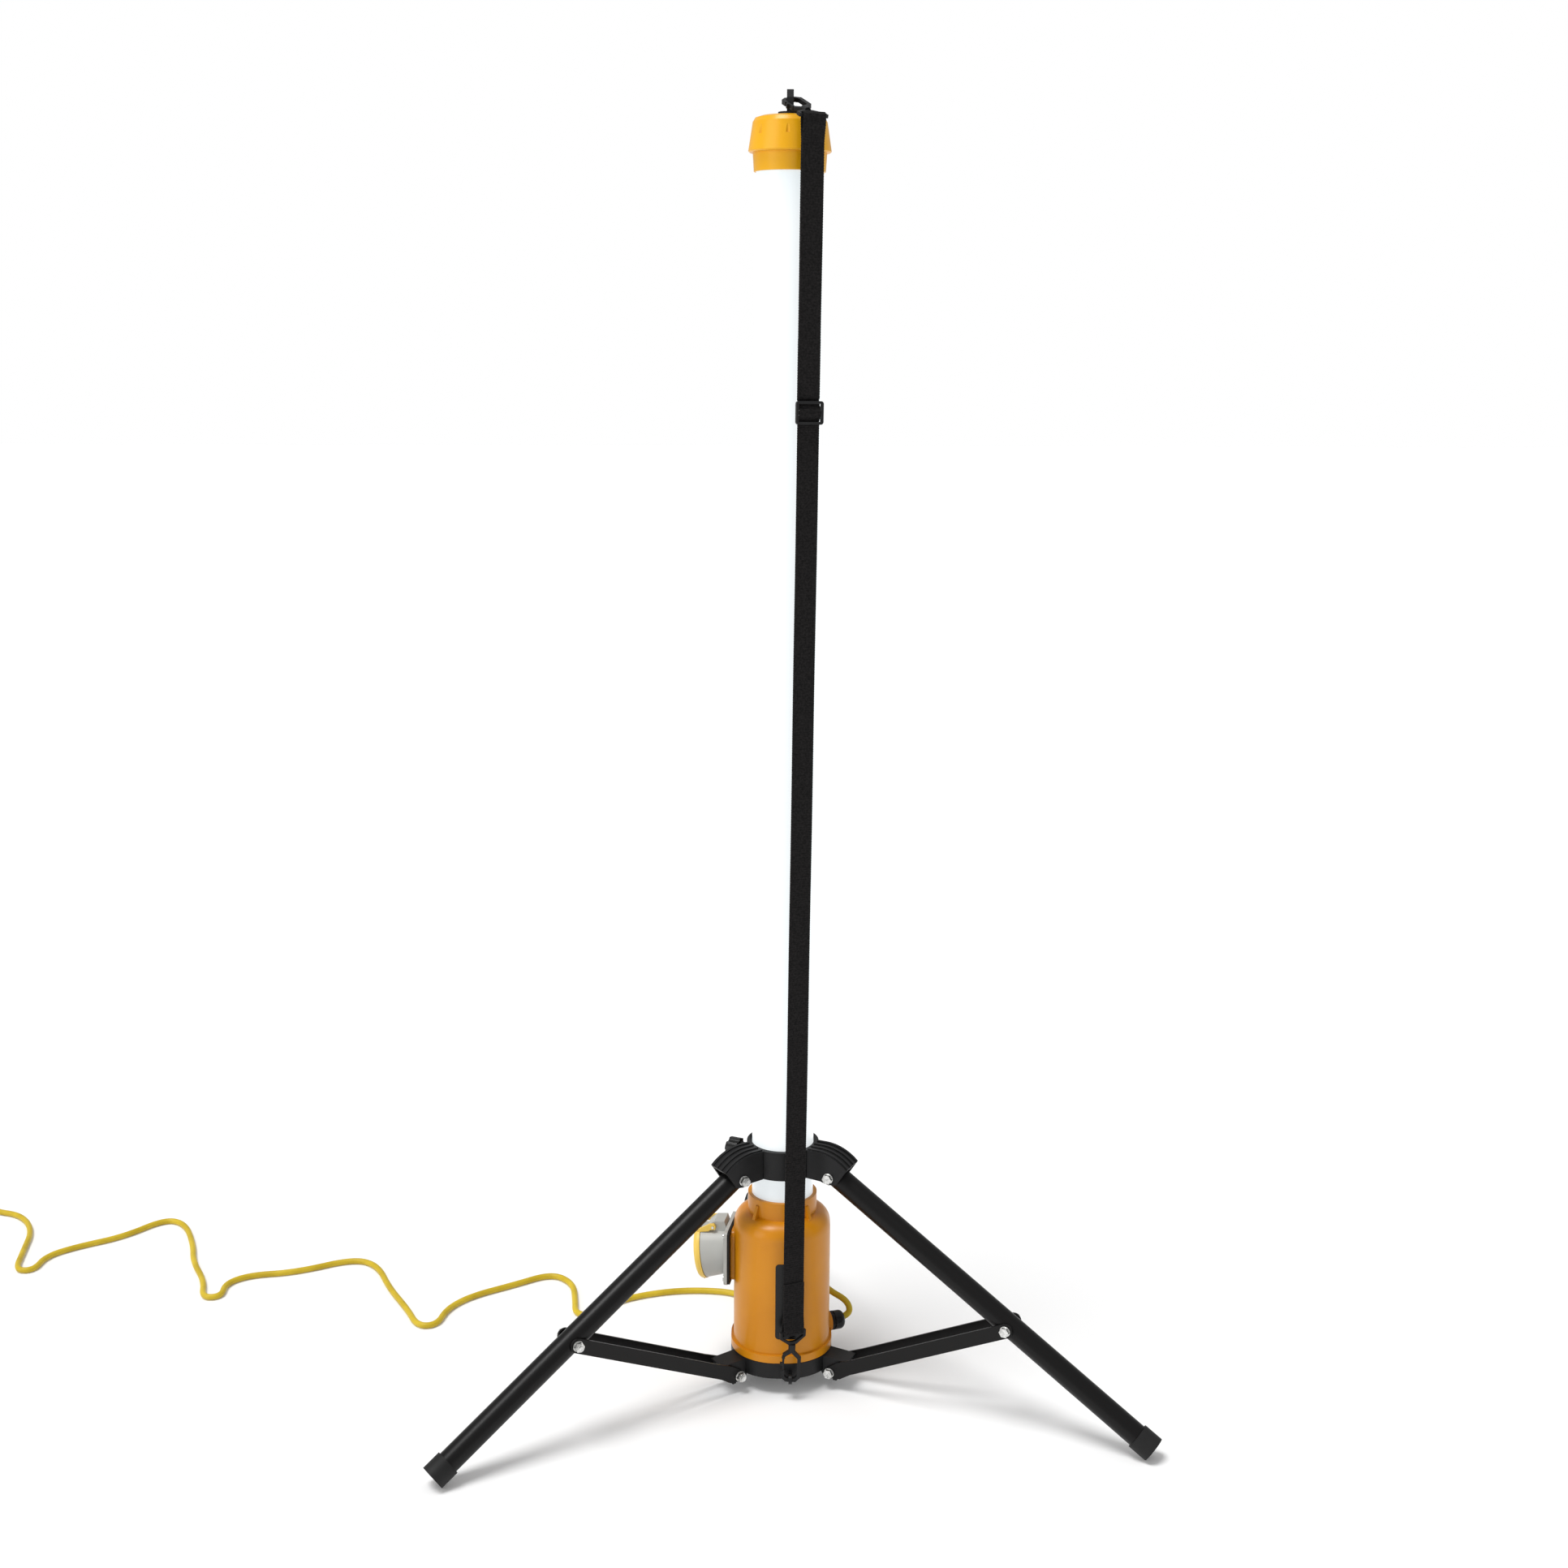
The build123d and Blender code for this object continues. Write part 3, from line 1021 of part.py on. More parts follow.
    with BuildPart() as gate:
        with BuildSketch(hook_plane):
            with Locations((-HOOK_HALF, GATE_PIVOT_Y)):
                Circle(1.9)
            with Locations((-HOOK_HALF, (GATE_PIVOT_Y + NOSE_Y) / 2)):
                Rectangle(GATE_T, NOSE_Y - GATE_PIVOT_Y - 0.8)
            with Locations((-HOOK_HALF - 2.2, GATE_PIVOT_Y + 8.0)):
                Rectangle(3.0, 2.4)
        extrude(amount=HOOK_THICK / 2, both=True)
    finish(gate, f"hook_gate_{name}")
    gate_pivots[name] = (hook_plane.from_local_coords(Vector(-HOOK_HALF, GATE_PIVOT_Y, 0)), hook_plane.z_dir)

# small eye on the front of the base bracket, for the lower hook
eye_middle = hook_ends["bottom"][1]
front = direction(BODY_TURN - 90)
eye_root = eye_middle - front * (eye_middle.dot(front) - TRAY_OUTER)
strap_eye_plane = Plane(origin=eye_root, x_dir=front, z_dir=front.cross(Vector(0, 0, 1)))
STRAP_EYE_REACH = eye_middle.dot(front) - TRAY_OUTER
STRAP_EYE_R = 5.5
with BuildPart() as strap_eye:
    with BuildSketch(strap_eye_plane):
        with Locations((STRAP_EYE_REACH, 0)):
            Circle(STRAP_EYE_R)
        with Locations((STRAP_EYE_REACH / 2, -0.5)):
            Rectangle(STRAP_EYE_REACH, 2 * STRAP_EYE_R - 1.0)
        with Locations((STRAP_EYE_REACH, 0)):
            Circle(3.3, mode=Mode.SUBTRACT)
    extrude(amount=2.0, both=True)
finish(strap_eye, "strap_eye")

# ===== supply cord, its spare coil and the plug ================================================
CORD_FLOOR_Z = CORD_R + 0.05
gland_exit = at_radius(GLAND_AZIMUTH, GLAND_SEAT_R - 6.0, GLAND_Z)
cord_points = [
    (gland_exit.X, gland_exit.Y, gland_exit.Z),
    (80.0, 21.5, 53.0),
    (77.5, 30.0, 71.0),
    (54.0, 44.0, 79.0),
    (32.0, 56.5, 112.0),
    (9.0, 60.6, 152.0),
    (-16.0, 61.3, 158.0),
    (-36.0, 60.0, 128.0),
    (-40.0, 82.0, 82.0),
    (-32.0, 122.0, 36.0),
    (-26.0, 166.0, 7.0),
    (-45.0, 194.0, CORD_FLOOR_Z),
    (-99.0, 204.0, CORD_FLOOR_Z),
    (-151.0, 197.0, CORD_FLOOR_Z),
    (-195.0, 178.0, CORD_FLOOR_Z),
    (-224.0, 143.5, CORD_FLOOR_Z),
    (-240.0, 148.5, CORD_FLOOR_Z),
    (-244.0, 184.0, CORD_FLOOR_Z),
    (-247.0, 232.0, CORD_FLOOR_Z),
    (-275.0, 262.0, CORD_FLOOR_Z),
    (-325.0, 232.0, CORD_FLOOR_Z),
    (-375.0, 206.0, CORD_FLOOR_Z),
    (-403.0, 173.0, CORD_FLOOR_Z),
    (-415.0, 132.5, CORD_FLOOR_Z),
    (-431.0, 131.5, CORD_FLOOR_Z),
    (-451.0, 176.0, CORD_FLOOR_Z),
    (-480.0, 236.0, CORD_FLOOR_Z),
    (-501.0, 301.0, CORD_FLOOR_Z),
    (-535.0, 322.0, CORD_FLOOR_Z),
    (-605.0, 288.0, CORD_FLOOR_Z),
    (-662.0, 284.0, CORD_FLOOR_Z),
    (-689.0, 262.0, CORD_FLOOR_Z),
    (-691.0, 226.5, CORD_FLOOR_Z),
    (-707.0, 225.5, CORD_FLOOR_Z),
    (-717.0, 272.0, CORD_FLOOR_Z),
    (-742.0, 328.0, CORD_FLOOR_Z),
    (-752.0, 380.0, CORD_FLOOR_Z),
    (-775.0, 446.0, CORD_FLOOR_Z),
    (-806.0, 462.0, CORD_FLOOR_Z),
    (-850.0, 410.0, CORD_FLOOR_Z),
    (-905.0, 383.0, CORD_FLOOR_Z),
    (-939.0, 357.0, CORD_FLOOR_Z),
    (-944.0, 317.5, CORD_FLOOR_Z),
    (-962.0, 318.5, CORD_FLOOR_Z),
    (-967.0, 372.0, CORD_FLOOR_Z),
    (-976.0, 440.0, CORD_FLOOR_Z),
    (-1004.0, 489.0, CORD_FLOOR_Z),
    (-1045.0, 504.0, CORD_FLOOR_Z),
    (-1080.0, 540.0, CORD_FLOOR_Z),
    (-1112.0, 553.0, CORD_FLOOR_Z),
]
COIL_MIDDLE = (-1124.0, 509.0)


def bend_radii(points):
    """Radius of each bend, from the shorter run beside it and the turn there."""
    radii = []
    for before, here, after in zip(points, points[1:], points[2:]):
        run_in = Vector(*here) - Vector(*before)
        run_out = Vector(*after) - Vector(*here)
        turn = radians(run_in.get_angle(run_out))
        radii.append(0.45 * min(run_in.length, run_out.length) / tan(turn / 2))
    return radii


def cord_length(points):
    """Length of the filleted route."""
    total = sum((Vector(*b) - Vector(*a)).length for a, b in zip(points, points[1:]))
    for radius, before, here, after in zip(bend_radii(points), points, points[1:], points[2:]):
        turn = radians((Vector(*here) - Vector(*before)).get_angle(Vector(*after) - Vector(*here)))
        total -= radius * (2 * tan(turn / 2) - turn)
    return total


with BuildPart() as power_cord:
    with BuildLine() as cord_route:
        FilletPolyline(*cord_points, radius=bend_radii(cord_points))
    with BuildSketch(Plane(origin=cord_route.line @ 0, z_dir=cord_route.line % 0)):
        Circle(CORD_R)
    sweep(path=cord_route.line)
finish(power_cord, "power_cord")

# the spare length lies in a flat ring of three turns: two on the floor and one on top
COIL_WIDTH = 4 * CORD_R + 1.0
COIL_HEIGHT = 4 * CORD_R
with BuildPart() as cord_coil:
    with BuildSketch(Plane.XZ.offset(-COIL_MIDDLE[1])):
        with Locations((COIL_MIDDLE[0] + COIL_TURN_R, COIL_HEIGHT / 2 + 0.05)):
            RectangleRounded(COIL_WIDTH, COIL_HEIGHT, CORD_R - 0.1)
    revolve(axis=Axis((COIL_MIDDLE[0], COIL_MIDDLE[1], 0), (0, 0, 1)))
finish(cord_coil, "cord_coil")

PLUG_FOOT_R = PLUG_R + 2.0
plug_back = Vector(-1142.0, 418.0, PLUG_FOOT_R)
tail_points = [
    (COIL_MIDDLE[0] - COIL_TURN_R, COIL_MIDDLE[1] - 6.0, CORD_FLOOR_Z + 0.2),
    (COIL_MIDDLE[0] - COIL_TURN_R - 2.0, COIL_MIDDLE[1] - 36.0, CORD_FLOOR_Z),
    (plug_back.X - 10.0, plug_back.Y + 30.0, CORD_FLOOR_Z + 8.0),
    (plug_back.X, plug_back.Y + 8.0, plug_back.Z),
    (plug_back.X + 0.5, plug_back.Y - 10.0, plug_back.Z),
]
with BuildPart() as cord_tail:
    with BuildLine() as tail_route:
        FilletPolyline(*tail_points, radius=bend_radii(tail_points))
    with BuildSketch(Plane(origin=tail_route.line @ 0, z_dir=tail_route.line % 0)):
        Circle(CORD_R)
    sweep(path=tail_route.line)
finish(cord_tail, "cord_tail")

plug_plane = Plane(origin=plug_back, x_dir=(1, 0, 0), z_dir=(0, -1, 0))
PLUG_LENGTH = 74.0
SLEEVE_LENGTH = 38.0
with BuildPart() as plug_body:
    with BuildSketch(plug_plane.offset(12.0)):
        Circle(CORD_R + 7.5)
    with BuildSketch(plug_plane.offset(30.0)):
        Circle(PLUG_R)
    loft()
    with BuildSketch(plug_plane.offset(30.0)):
        Circle(PLUG_R)
    extrude(amount=PLUG_LENGTH - 30.0)
    with BuildSketch(plug_plane.offset(PLUG_LENGTH - 14.0)):
        Circle(PLUG_FOOT_R - 0.05)
    extrude(amount=14.0)
    with BuildSketch(plug_plane.offset(PLUG_LENGTH)):
        Circle(PLUG_R)
        Circle(PLUG_R - 2.2, mode=Mode.SUBTRACT)
    extrude(amount=SLEEVE_LENGTH)
    # keyway on the sleeve
    with BuildSketch(plug_plane.offset(PLUG_LENGTH)):
        with Locations((0, PLUG_R)):
            Rectangle(5.0, 3.0)
    extrude(amount=SLEEVE_LENGTH)
    with BuildSketch(plug_plane):
        Circle(CORD_R + CORD_FIT)
    extrude(amount=24.0, mode=Mode.SUBTRACT)
finish(plug_body, "plug_body")

with BuildPart() as plug_nut:
    with BuildSketch(plug_plane):
        RegularPolygon(CORD_R + 6.5, 8)
    extrude(amount=12.0)
    with BuildSketch(plug_plane):
        Circle(CORD_R + CORD_FIT)
    extrude(amount=12.0, mode=Mode.SUBTRACT)
finish(plug_nut, "plug_nut")

with BuildPart() as plug_pins:
    with BuildSketch(plug_plane.offset(PLUG_LENGTH)):
        with PolarLocations(CONTACT_CIRCLE_R, 3, start_angle=90):
            Circle(2.5)
    extrude(amount=SLEEVE_LENGTH - 4.0)
finish(plug_pins, "plug_pins")

coil_length = 2 * pi * COIL_TURN_R * COIL_TURNS
print("bend radii of the cord:", [round(radius, 1) for radius in bend_radii(cord_points)])
print("bend radii of the tail:", [round(radius, 1) for radius in bend_radii(tail_points)])
print("cord lengths:", round(cord_length(cord_points)), round(coil_length), round(cord_length(tail_points)))
print("brace slope and hinge:", round(BRACE_SLOPE, 3), [round(v, 3) for v in BRACE_END], round(BRACE_LENGTH, 3))
for name, (pivot, axis) in gate_pivots.items():
    print("gate", name, [round(v, 3) for v in pivot], [round(v, 4) for v in axis])

for piece in pieces:
    assert piece.is_valid, piece.label
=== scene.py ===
"""Looks, lights and camera for the LED site light. Metres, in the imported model's frame."""

import math

import bpy
from mathutils import Matrix, Vector
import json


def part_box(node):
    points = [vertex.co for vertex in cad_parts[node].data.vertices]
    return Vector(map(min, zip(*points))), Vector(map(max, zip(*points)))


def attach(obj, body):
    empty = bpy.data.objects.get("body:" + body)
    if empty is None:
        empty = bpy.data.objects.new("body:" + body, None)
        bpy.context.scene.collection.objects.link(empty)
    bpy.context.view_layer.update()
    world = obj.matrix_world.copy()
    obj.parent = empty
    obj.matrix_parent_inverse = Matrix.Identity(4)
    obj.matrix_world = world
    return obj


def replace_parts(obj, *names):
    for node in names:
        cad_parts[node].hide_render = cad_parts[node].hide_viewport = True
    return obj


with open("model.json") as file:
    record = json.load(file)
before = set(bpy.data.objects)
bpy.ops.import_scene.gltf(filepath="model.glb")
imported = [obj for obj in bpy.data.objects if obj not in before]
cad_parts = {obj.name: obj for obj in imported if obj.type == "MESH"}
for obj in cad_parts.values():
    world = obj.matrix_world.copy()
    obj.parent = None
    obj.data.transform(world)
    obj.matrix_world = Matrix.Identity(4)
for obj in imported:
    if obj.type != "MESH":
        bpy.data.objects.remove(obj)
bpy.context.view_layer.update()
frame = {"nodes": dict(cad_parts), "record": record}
nodes = frame["nodes"]
MM = 0.001

# ---- camera -----------------------------------------------------------------------------------
CAMERA_DISTANCE = 2.1694
CAMERA_HEIGHT = 1.1889
CAMERA_TURN = math.radians(-4.9)      # the view's own turn about the lamp's axis
CAMERA_TILT = math.radians(12.55)     # below level
CAMERA_ROLL = math.radians(0.41)
CAMERA_PAN = math.radians(-0.04)
FIELD_OF_VIEW = math.radians(42.42)
VIEW_END = 60.0


def make_camera():
    data = bpy.data.cameras.new("camera")
    data.sensor_fit = "HORIZONTAL"
    data.angle = FIELD_OF_VIEW
    data.clip_end = VIEW_END
    forward = Vector((
        math.sin(CAMERA_PAN) * math.cos(CAMERA_TILT),
        math.cos(CAMERA_PAN) * math.cos(CAMERA_TILT),
        -math.sin(CAMERA_TILT),
    ))
    level = Vector((math.cos(CAMERA_PAN), -math.sin(CAMERA_PAN), 0))
    upward = level.cross(forward)
    right = level * math.cos(CAMERA_ROLL) + upward * math.sin(CAMERA_ROLL)
    top = upward * math.cos(CAMERA_ROLL) - level * math.sin(CAMERA_ROLL)
    place = Matrix.Translation((0, -CAMERA_DISTANCE, CAMERA_HEIGHT))
    aim = Matrix((right, top, -forward)).transposed().to_4x4()
    camera = bpy.data.objects.new("camera", data)
    camera.matrix_world = Matrix.Rotation(CAMERA_TURN, 4, "Z") @ place @ aim
    bpy.context.collection.objects.link(camera)
    bpy.context.scene.camera = camera


# ---- materials --------------------------------------------------------------------------------
GRAIN_HEIGHT = 0.2 * MM
WEAVE_HEIGHT = 0.4 * MM
MOULDED_EDGE = 0.7 * MM
COATED_EDGE = 0.5 * MM
ZINC_EDGE = 0.4 * MM
BEVEL_SAMPLES = 4
TUBE_GLOW = 0.72
TUBE_ENDS = (0.02, 0.99)       # shares of the tube's height where its dimmer ends stop
TUBE_FULL = (0.09, 0.93)       # and where it is fully bright
GLOSSY_NODES = ("label_plate", "gland_dome", "clamp_knob")


class Shader:
    """A Principled material with short ways to add noise, bump and soft edges."""

    def __init__(self, name, color, roughness, metallic=0.0, specular=0.5):
        self.material = bpy.data.materials.new(name)
        self.material.use_nodes = True
        self.tree = self.material.node_tree
        self.shader = self.tree.nodes["Principled BSDF"]
        self.shader.inputs["Base Color"].default_value = (*color, 1)
        self.shader.inputs["Roughness"].default_value = roughness
        self.shader.inputs["Metallic"].default_value = metallic
        self.shader.inputs["Specular IOR Level"].default_value = specular
        self.normal = None

    def new(self, kind, **sockets):
        node = self.tree.nodes.new(kind)
        for name, value in sockets.items():
            node.inputs[name.replace("_", " ")].default_value = value
        return node

    def link(self, source, target):
        self.tree.links.new(source, target)

    def place(self):
        return self.new("ShaderNodeTexCoord").outputs["Object"]

    def noise(self, scale, detail=3.0, stretch=(1, 1, 1)):
        mapping = self.new("ShaderNodeMapping")
        mapping.inputs["Scale"].default_value = stretch
        noise = self.new("ShaderNodeTexNoise", Scale=scale, Detail=detail)
        self.link(self.place(), mapping.inputs["Vector"])
        self.link(mapping.outputs["Vector"], noise.inputs["Vector"])
        return noise.outputs["Fac"]

    def vary_color(self, factor, dark, light, low=0.35, high=0.65):
        ramp = self.new("ShaderNodeValToRGB")
        ramp.color_ramp.elements[0].position = low
        ramp.color_ramp.elements[0].color = (*dark, 1)
        ramp.color_ramp.elements[1].position = high
        ramp.color_ramp.elements[1].color = (*light, 1)
        self.link(factor, ramp.inputs["Fac"])
        self.link(ramp.outputs["Color"], self.shader.inputs["Base Color"])

    def vary_roughness(self, factor, low, high):
        spread = self.new("ShaderNodeMapRange")
        spread.inputs["To Min"].default_value = low
        spread.inputs["To Max"].default_value = high
        self.link(factor, spread.inputs["Value"])
        self.link(spread.outputs["Result"], self.shader.inputs["Roughness"])

    def soften(self, radius):
        bevel = self.new("ShaderNodeBevel", Radius=radius)
        bevel.samples = BEVEL_SAMPLES
        self.normal = bevel.outputs["Normal"]

    def bump(self, height, strength, distance):
        bump = self.new("ShaderNodeBump", Strength=strength, Distance=distance)
        self.link(height, bump.inputs["Height"])
        if self.normal:
            self.link(self.normal, bump.inputs["Normal"])
        self.normal = bump.outputs["Normal"]

    def done(self):
        if self.normal:
            self.link(self.normal, self.shader.inputs["Normal"])
        return self.material


def moulded(name, dark, light, roughness, grain=900.0, strength=0.12, specular=0.35):
    """Moulded plastic: faint colour drift, fine spark-eroded grain and rounded edges."""
    look = Shader(name, light, roughness, specular=specular)
    look.vary_color(look.noise(14.0), dark, light)
    look.vary_roughness(look.noise(60.0), roughness - 0.05, roughness + 0.07)
    look.soften(MOULDED_EDGE)
    look.bump(look.noise(grain, 2.0), strength, GRAIN_HEIGHT)
    return look.done()


def powder_coat():
    """The near-black coat of the legs and braces."""
    look = Shader("powder_coat", (0.0045, 0.0042, 0.0042), 0.34, specular=0.2)
    look.vary_roughness(look.noise(220.0), 0.3, 0.4)
    look.soften(COATED_EDGE)
    look.bump(look.noise(1500.0, 2.0), 0.18, GRAIN_HEIGHT)
    return look.done()


def zinc():
    """Bright zinc, a little cloudy."""
    look = Shader("zinc", (0.72, 0.72, 0.7), 0.3, metallic=1.0)
    look.vary_color(look.noise(300.0), (0.5, 0.5, 0.49), (0.82, 0.82, 0.8))
    look.vary_roughness(look.noise(700.0), 0.2, 0.4)
    look.soften(ZINC_EDGE)
    return look.done()


def opal_tube():
    """Lit opal plastic: near white, a little cooler and dimmer towards its ends."""
    look = Shader("opal", (0.36, 0.38, 0.39), 0.22, specular=0.3)
    look.vary_roughness(look.noise(25.0), 0.18, 0.28)
    ramp = look.new("ShaderNodeValToRGB")
    split = look.new("ShaderNodeSeparateXYZ")
    spread = look.new("ShaderNodeMapRange")
    low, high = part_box("diffuser_tube")
    spread.inputs["From Min"].default_value = low[2]
    spread.inputs["From Max"].default_value = high[2]
    look.link(look.place(), split.inputs["Vector"])
    look.link(split.outputs["Z"], spread.inputs["Value"])
    look.link(spread.outputs["Result"], ramp.inputs["Fac"])
    stops = ramp.color_ramp.elements
    stops[0].position, stops[0].color = TUBE_ENDS[0], (0.66, 0.70, 0.72, 1)
    stops[1].position, stops[1].color = TUBE_ENDS[1], (0.78, 0.86, 0.89, 1)
    for position in TUBE_FULL:
        stops.new(position).color = (0.95, 0.99, 1.0, 1)
    look.link(ramp.outputs["Color"], look.shader.inputs["Emission Color"])
    look.shader.inputs["Emission Strength"].default_value = TUBE_GLOW
    return look.done()


def sheath():
    """The supply cord's yellow sheath."""
    look = Shader("cord_sheath", (0.56, 0.4, 0.02), 0.42, specular=0.3)
    look.vary_color(look.noise(35.0), (0.50, 0.35, 0.012), (0.62, 0.45, 0.025))
    look.vary_roughness(look.noise(400.0), 0.36, 0.5)
    look.bump(look.noise(900.0), 0.1, GRAIN_HEIGHT)
    return look.done()


def woven():
    """Black webbing: fine yarn under the ribs that its mesh has."""
    look = Shader("webbing", (0.009, 0.0085, 0.0085), 0.8, specular=0.12)
    look.vary_color(look.noise(500.0), (0.005, 0.0046, 0.0046), (0.016, 0.0145, 0.0145))
    look.shader.inputs["Sheen Weight"].default_value = 0.04
    look.bump(look.noise(2600.0, 2.0, (1, 1, 0.35)), 0.6, WEAVE_HEIGHT)
    return look.done()


def paint_nodes():
    """Gives each CAD node its material. The cord and webbing are pieces of their own."""
    looks = {
        "base_orange": moulded("base_orange", (0.61, 0.225, 0.003), (0.67, 0.26, 0.005), 0.3),
        "cap_orange": moulded("cap_orange", (0.80, 0.385, 0.004), (0.86, 0.43, 0.007), 0.3),
        "moulded_black": moulded(
            "moulded_black", (0.008, 0.008, 0.0085), (0.013, 0.013, 0.0135), 0.42,
            grain=1100.0, strength=0.25, specular=0.22,
        ),
        "gloss_black": moulded(
            "gloss_black", (0.004, 0.004, 0.004), (0.006, 0.006, 0.006), 0.25, specular=0.3
        ),
        "rubber": moulded(
            "rubber_black", (0.008, 0.008, 0.008), (0.015, 0.015, 0.015), 0.55,
            grain=700.0, strength=0.3, specular=0.22,
        ),
        "socket_grey": moulded("socket_grey", (0.42, 0.42, 0.395), (0.47, 0.47, 0.445), 0.36),
        "yellow": moulded("lid_yellow", (0.78, 0.52, 0.09), (0.84, 0.58, 0.12), 0.36),
        "coat": powder_coat(),
        "zinc": zinc(),
        "opal": opal_tube(),
        "white": moulded("board_white", (0.8, 0.8, 0.76), (0.86, 0.86, 0.82), 0.5),
        "alloy": Shader("alloy", (0.7, 0.7, 0.7), 0.35, metallic=1.0).done(),
        "brass": Shader("brass", (0.7, 0.5, 0.2), 0.25, metallic=1.0).done(),
    }
    by_slot = {
        "orange_base": "base_orange",
        "orange_cap": "cap_orange",
        "opal": "opal",
        "black_coat": "coat",
        "black_moulded": "moulded_black",
        "rubber": "rubber",
        "zinc": "zinc",
        "socket_grey": "socket_grey",
        "safety_yellow": "yellow",
        "brass": "brass",
        "aluminium": "alloy",
        "board": "white",
    }
    for part in frame["record"]["subparts"]:
        node = nodes[part["node"]]
        if part["material_slot"] not in by_slot:
            continue
        name = by_slot[part["material_slot"]]
        if part["node"] in GLOSSY_NODES:
            name = "gloss_black"
        for place in node.material_slots:
            place.material = looks[name]


# ---- strap ------------------------------------------------------------------------------------
WEB_WIDTH = 25.0 * MM
WEB_T = 1.6 * MM
STRAP_TOP = Vector((19.0, -51.5, 1403.0)) * MM
STRAP_BOTTOM = Vector((7.0, -68.5, 84.0)) * MM
STRAP_FACING = math.radians(290.0)
HOOK_BAR = 3.5 * MM            # the bars that the strap is folded round
BAR_LOOP = 0.75 * HOOK_BAR + WEB_T / 2
BAR_STEPS = 8
LOOP_STRAIGHT = 6.0 * MM       # from a bar's middle to where the two layers close up
LOWER_CLOSED = 20.0 * MM       # where they lie on each other, at the lower end
UPPER_CLOSED = 24.0 * MM
LOWER_TAIL = 60.0 * MM         # the sewn end of the lower fold
LAYER = WEB_T + 0.05 * MM
BUCKLE_Z = 1110.0 * MM
BUCKLE_HALF = 12.0 * MM
BUCKLE_BACK = WEB_T / 2 + 0.2 * MM
BUCKLE_BAR_T = 1.6 * MM
BUCKLE_OVER = 2.8 * MM         # how far each side of its bar the webbing stays raised
BUCKLE_RAMP = 8.5 * MM         # and where it is back down
WEB_ACROSS = (-1.0, -0.94, -0.5, 0.0, 0.5, 0.94, 1.0)
WEB_CORE = 0.9                 # the edge yarns, outside this share, follow the ribs
EDGE_T = 0.35
RIB_PITCH = 2.6 * MM
RIB_DEPTH = 0.22 * MM
RIB_STEPS = 4
RIB_FLARE = 0.012
DRIFT = 0.25 * MM              # a slight wander of the strap off its straight line
DRIFT_RATE = 21.0
DRIFT_CLEAR = 60.0 * MM        # none this near either end

strap_up = (STRAP_TOP - STRAP_BOTTOM).normalized()
strap_side = strap_up.cross(Vector((math.cos(STRAP_FACING), math.sin(STRAP_FACING), 0))).normalized()
strap_face = strap_side.cross(strap_up)
strap_run = (STRAP_TOP - STRAP_BOTTOM).length
buckle_y = (BUCKLE_Z - STRAP_BOTTOM.z) / strap_up.z
split_y = buckle_y + BUCKLE_HALF + 2.0 * MM
over_bar = BUCKLE_BACK + BUCKLE_BAR_T + WEB_T / 2 + 0.1 * MM


def bar_turn(middle, start, sweep):
    """Points round a hook's bar, from a start angle through a sweep, in degrees."""
    turns = [math.radians(start + sweep * step / BAR_STEPS) for step in range(BAR_STEPS + 1)]
    return [(BAR_LOOP * math.cos(turn), middle + BAR_LOOP * math.sin(turn)) for turn in turns]


def webbing_mesh(name, outline, weave):
    """A ribbed strap along an outline of (out, up) points in the strap's own side plane."""
    points = [Vector((x, y, 0)) for x, y in outline]
    samples = []
    travelled = 0.0
    step = RIB_PITCH / RIB_STEPS
    for start, end in zip(points, points[1:]):
        run = (end - start).length
        count = max(1, round(run / step))
        for index in range(count):
            samples.append((start.lerp(end, index / count), travelled + run * index / count))
        travelled += run
    samples.append((points[-1], travelled))
    vertices = []
    faces = []
    for index, (point, distance) in enumerate(samples):
        before = samples[max(0, index - 1)][0]
        after = samples[min(len(samples) - 1, index + 1)][0]
        along = (after - before).normalized()
        out = Vector((along.y, -along.x, 0))
        rib = math.cos(2 * math.pi * distance / RIB_PITCH)
        half = WEB_T / 2 - RIB_DEPTH + RIB_DEPTH * rib
        free = DRIFT_CLEAR < distance < travelled - DRIFT_CLEAR
        drift = DRIFT * math.sin(distance * DRIFT_RATE) if free else 0.0
        for face, order in ((1, WEB_ACROSS), (-1, WEB_ACROSS[::-1])):
            for share in order:
                thick = half * (EDGE_T if abs(share) == 1.0 else 1.0)
                flare = RIB_FLARE * rib if abs(share) > WEB_CORE else 0.0
                width = WEB_WIDTH / 2 * share * (1.0 + flare)
                local = point + out * face * thick
                spot = STRAP_BOTTOM + strap_face * (local.x + drift) + strap_up * local.y
                vertices.append(spot + strap_side * width)
    ring = 2 * len(WEB_ACROSS)
    for index in range(len(samples) - 1):
        for corner in range(ring):
            following = (corner + 1) % ring
            faces.append((
                index * ring + corner,
                index * ring + following,
                (index + 1) * ring + following,
                (index + 1) * ring + corner,
            ))
    faces.append(tuple(range(ring))[::-1])
    faces.append(tuple((len(samples) - 1) * ring + corner for corner in range(ring)))
    mesh = bpy.data.meshes.new(name)
    mesh.from_pydata(vertices, [], faces)
    mesh.update()
    mesh.materials.append(weave)
    for polygon in mesh.polygons:
        polygon.use_smooth = True
    piece = bpy.data.objects.new(name, mesh)
    bpy.context.collection.objects.link(piece)
    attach(piece, "base")
    return piece


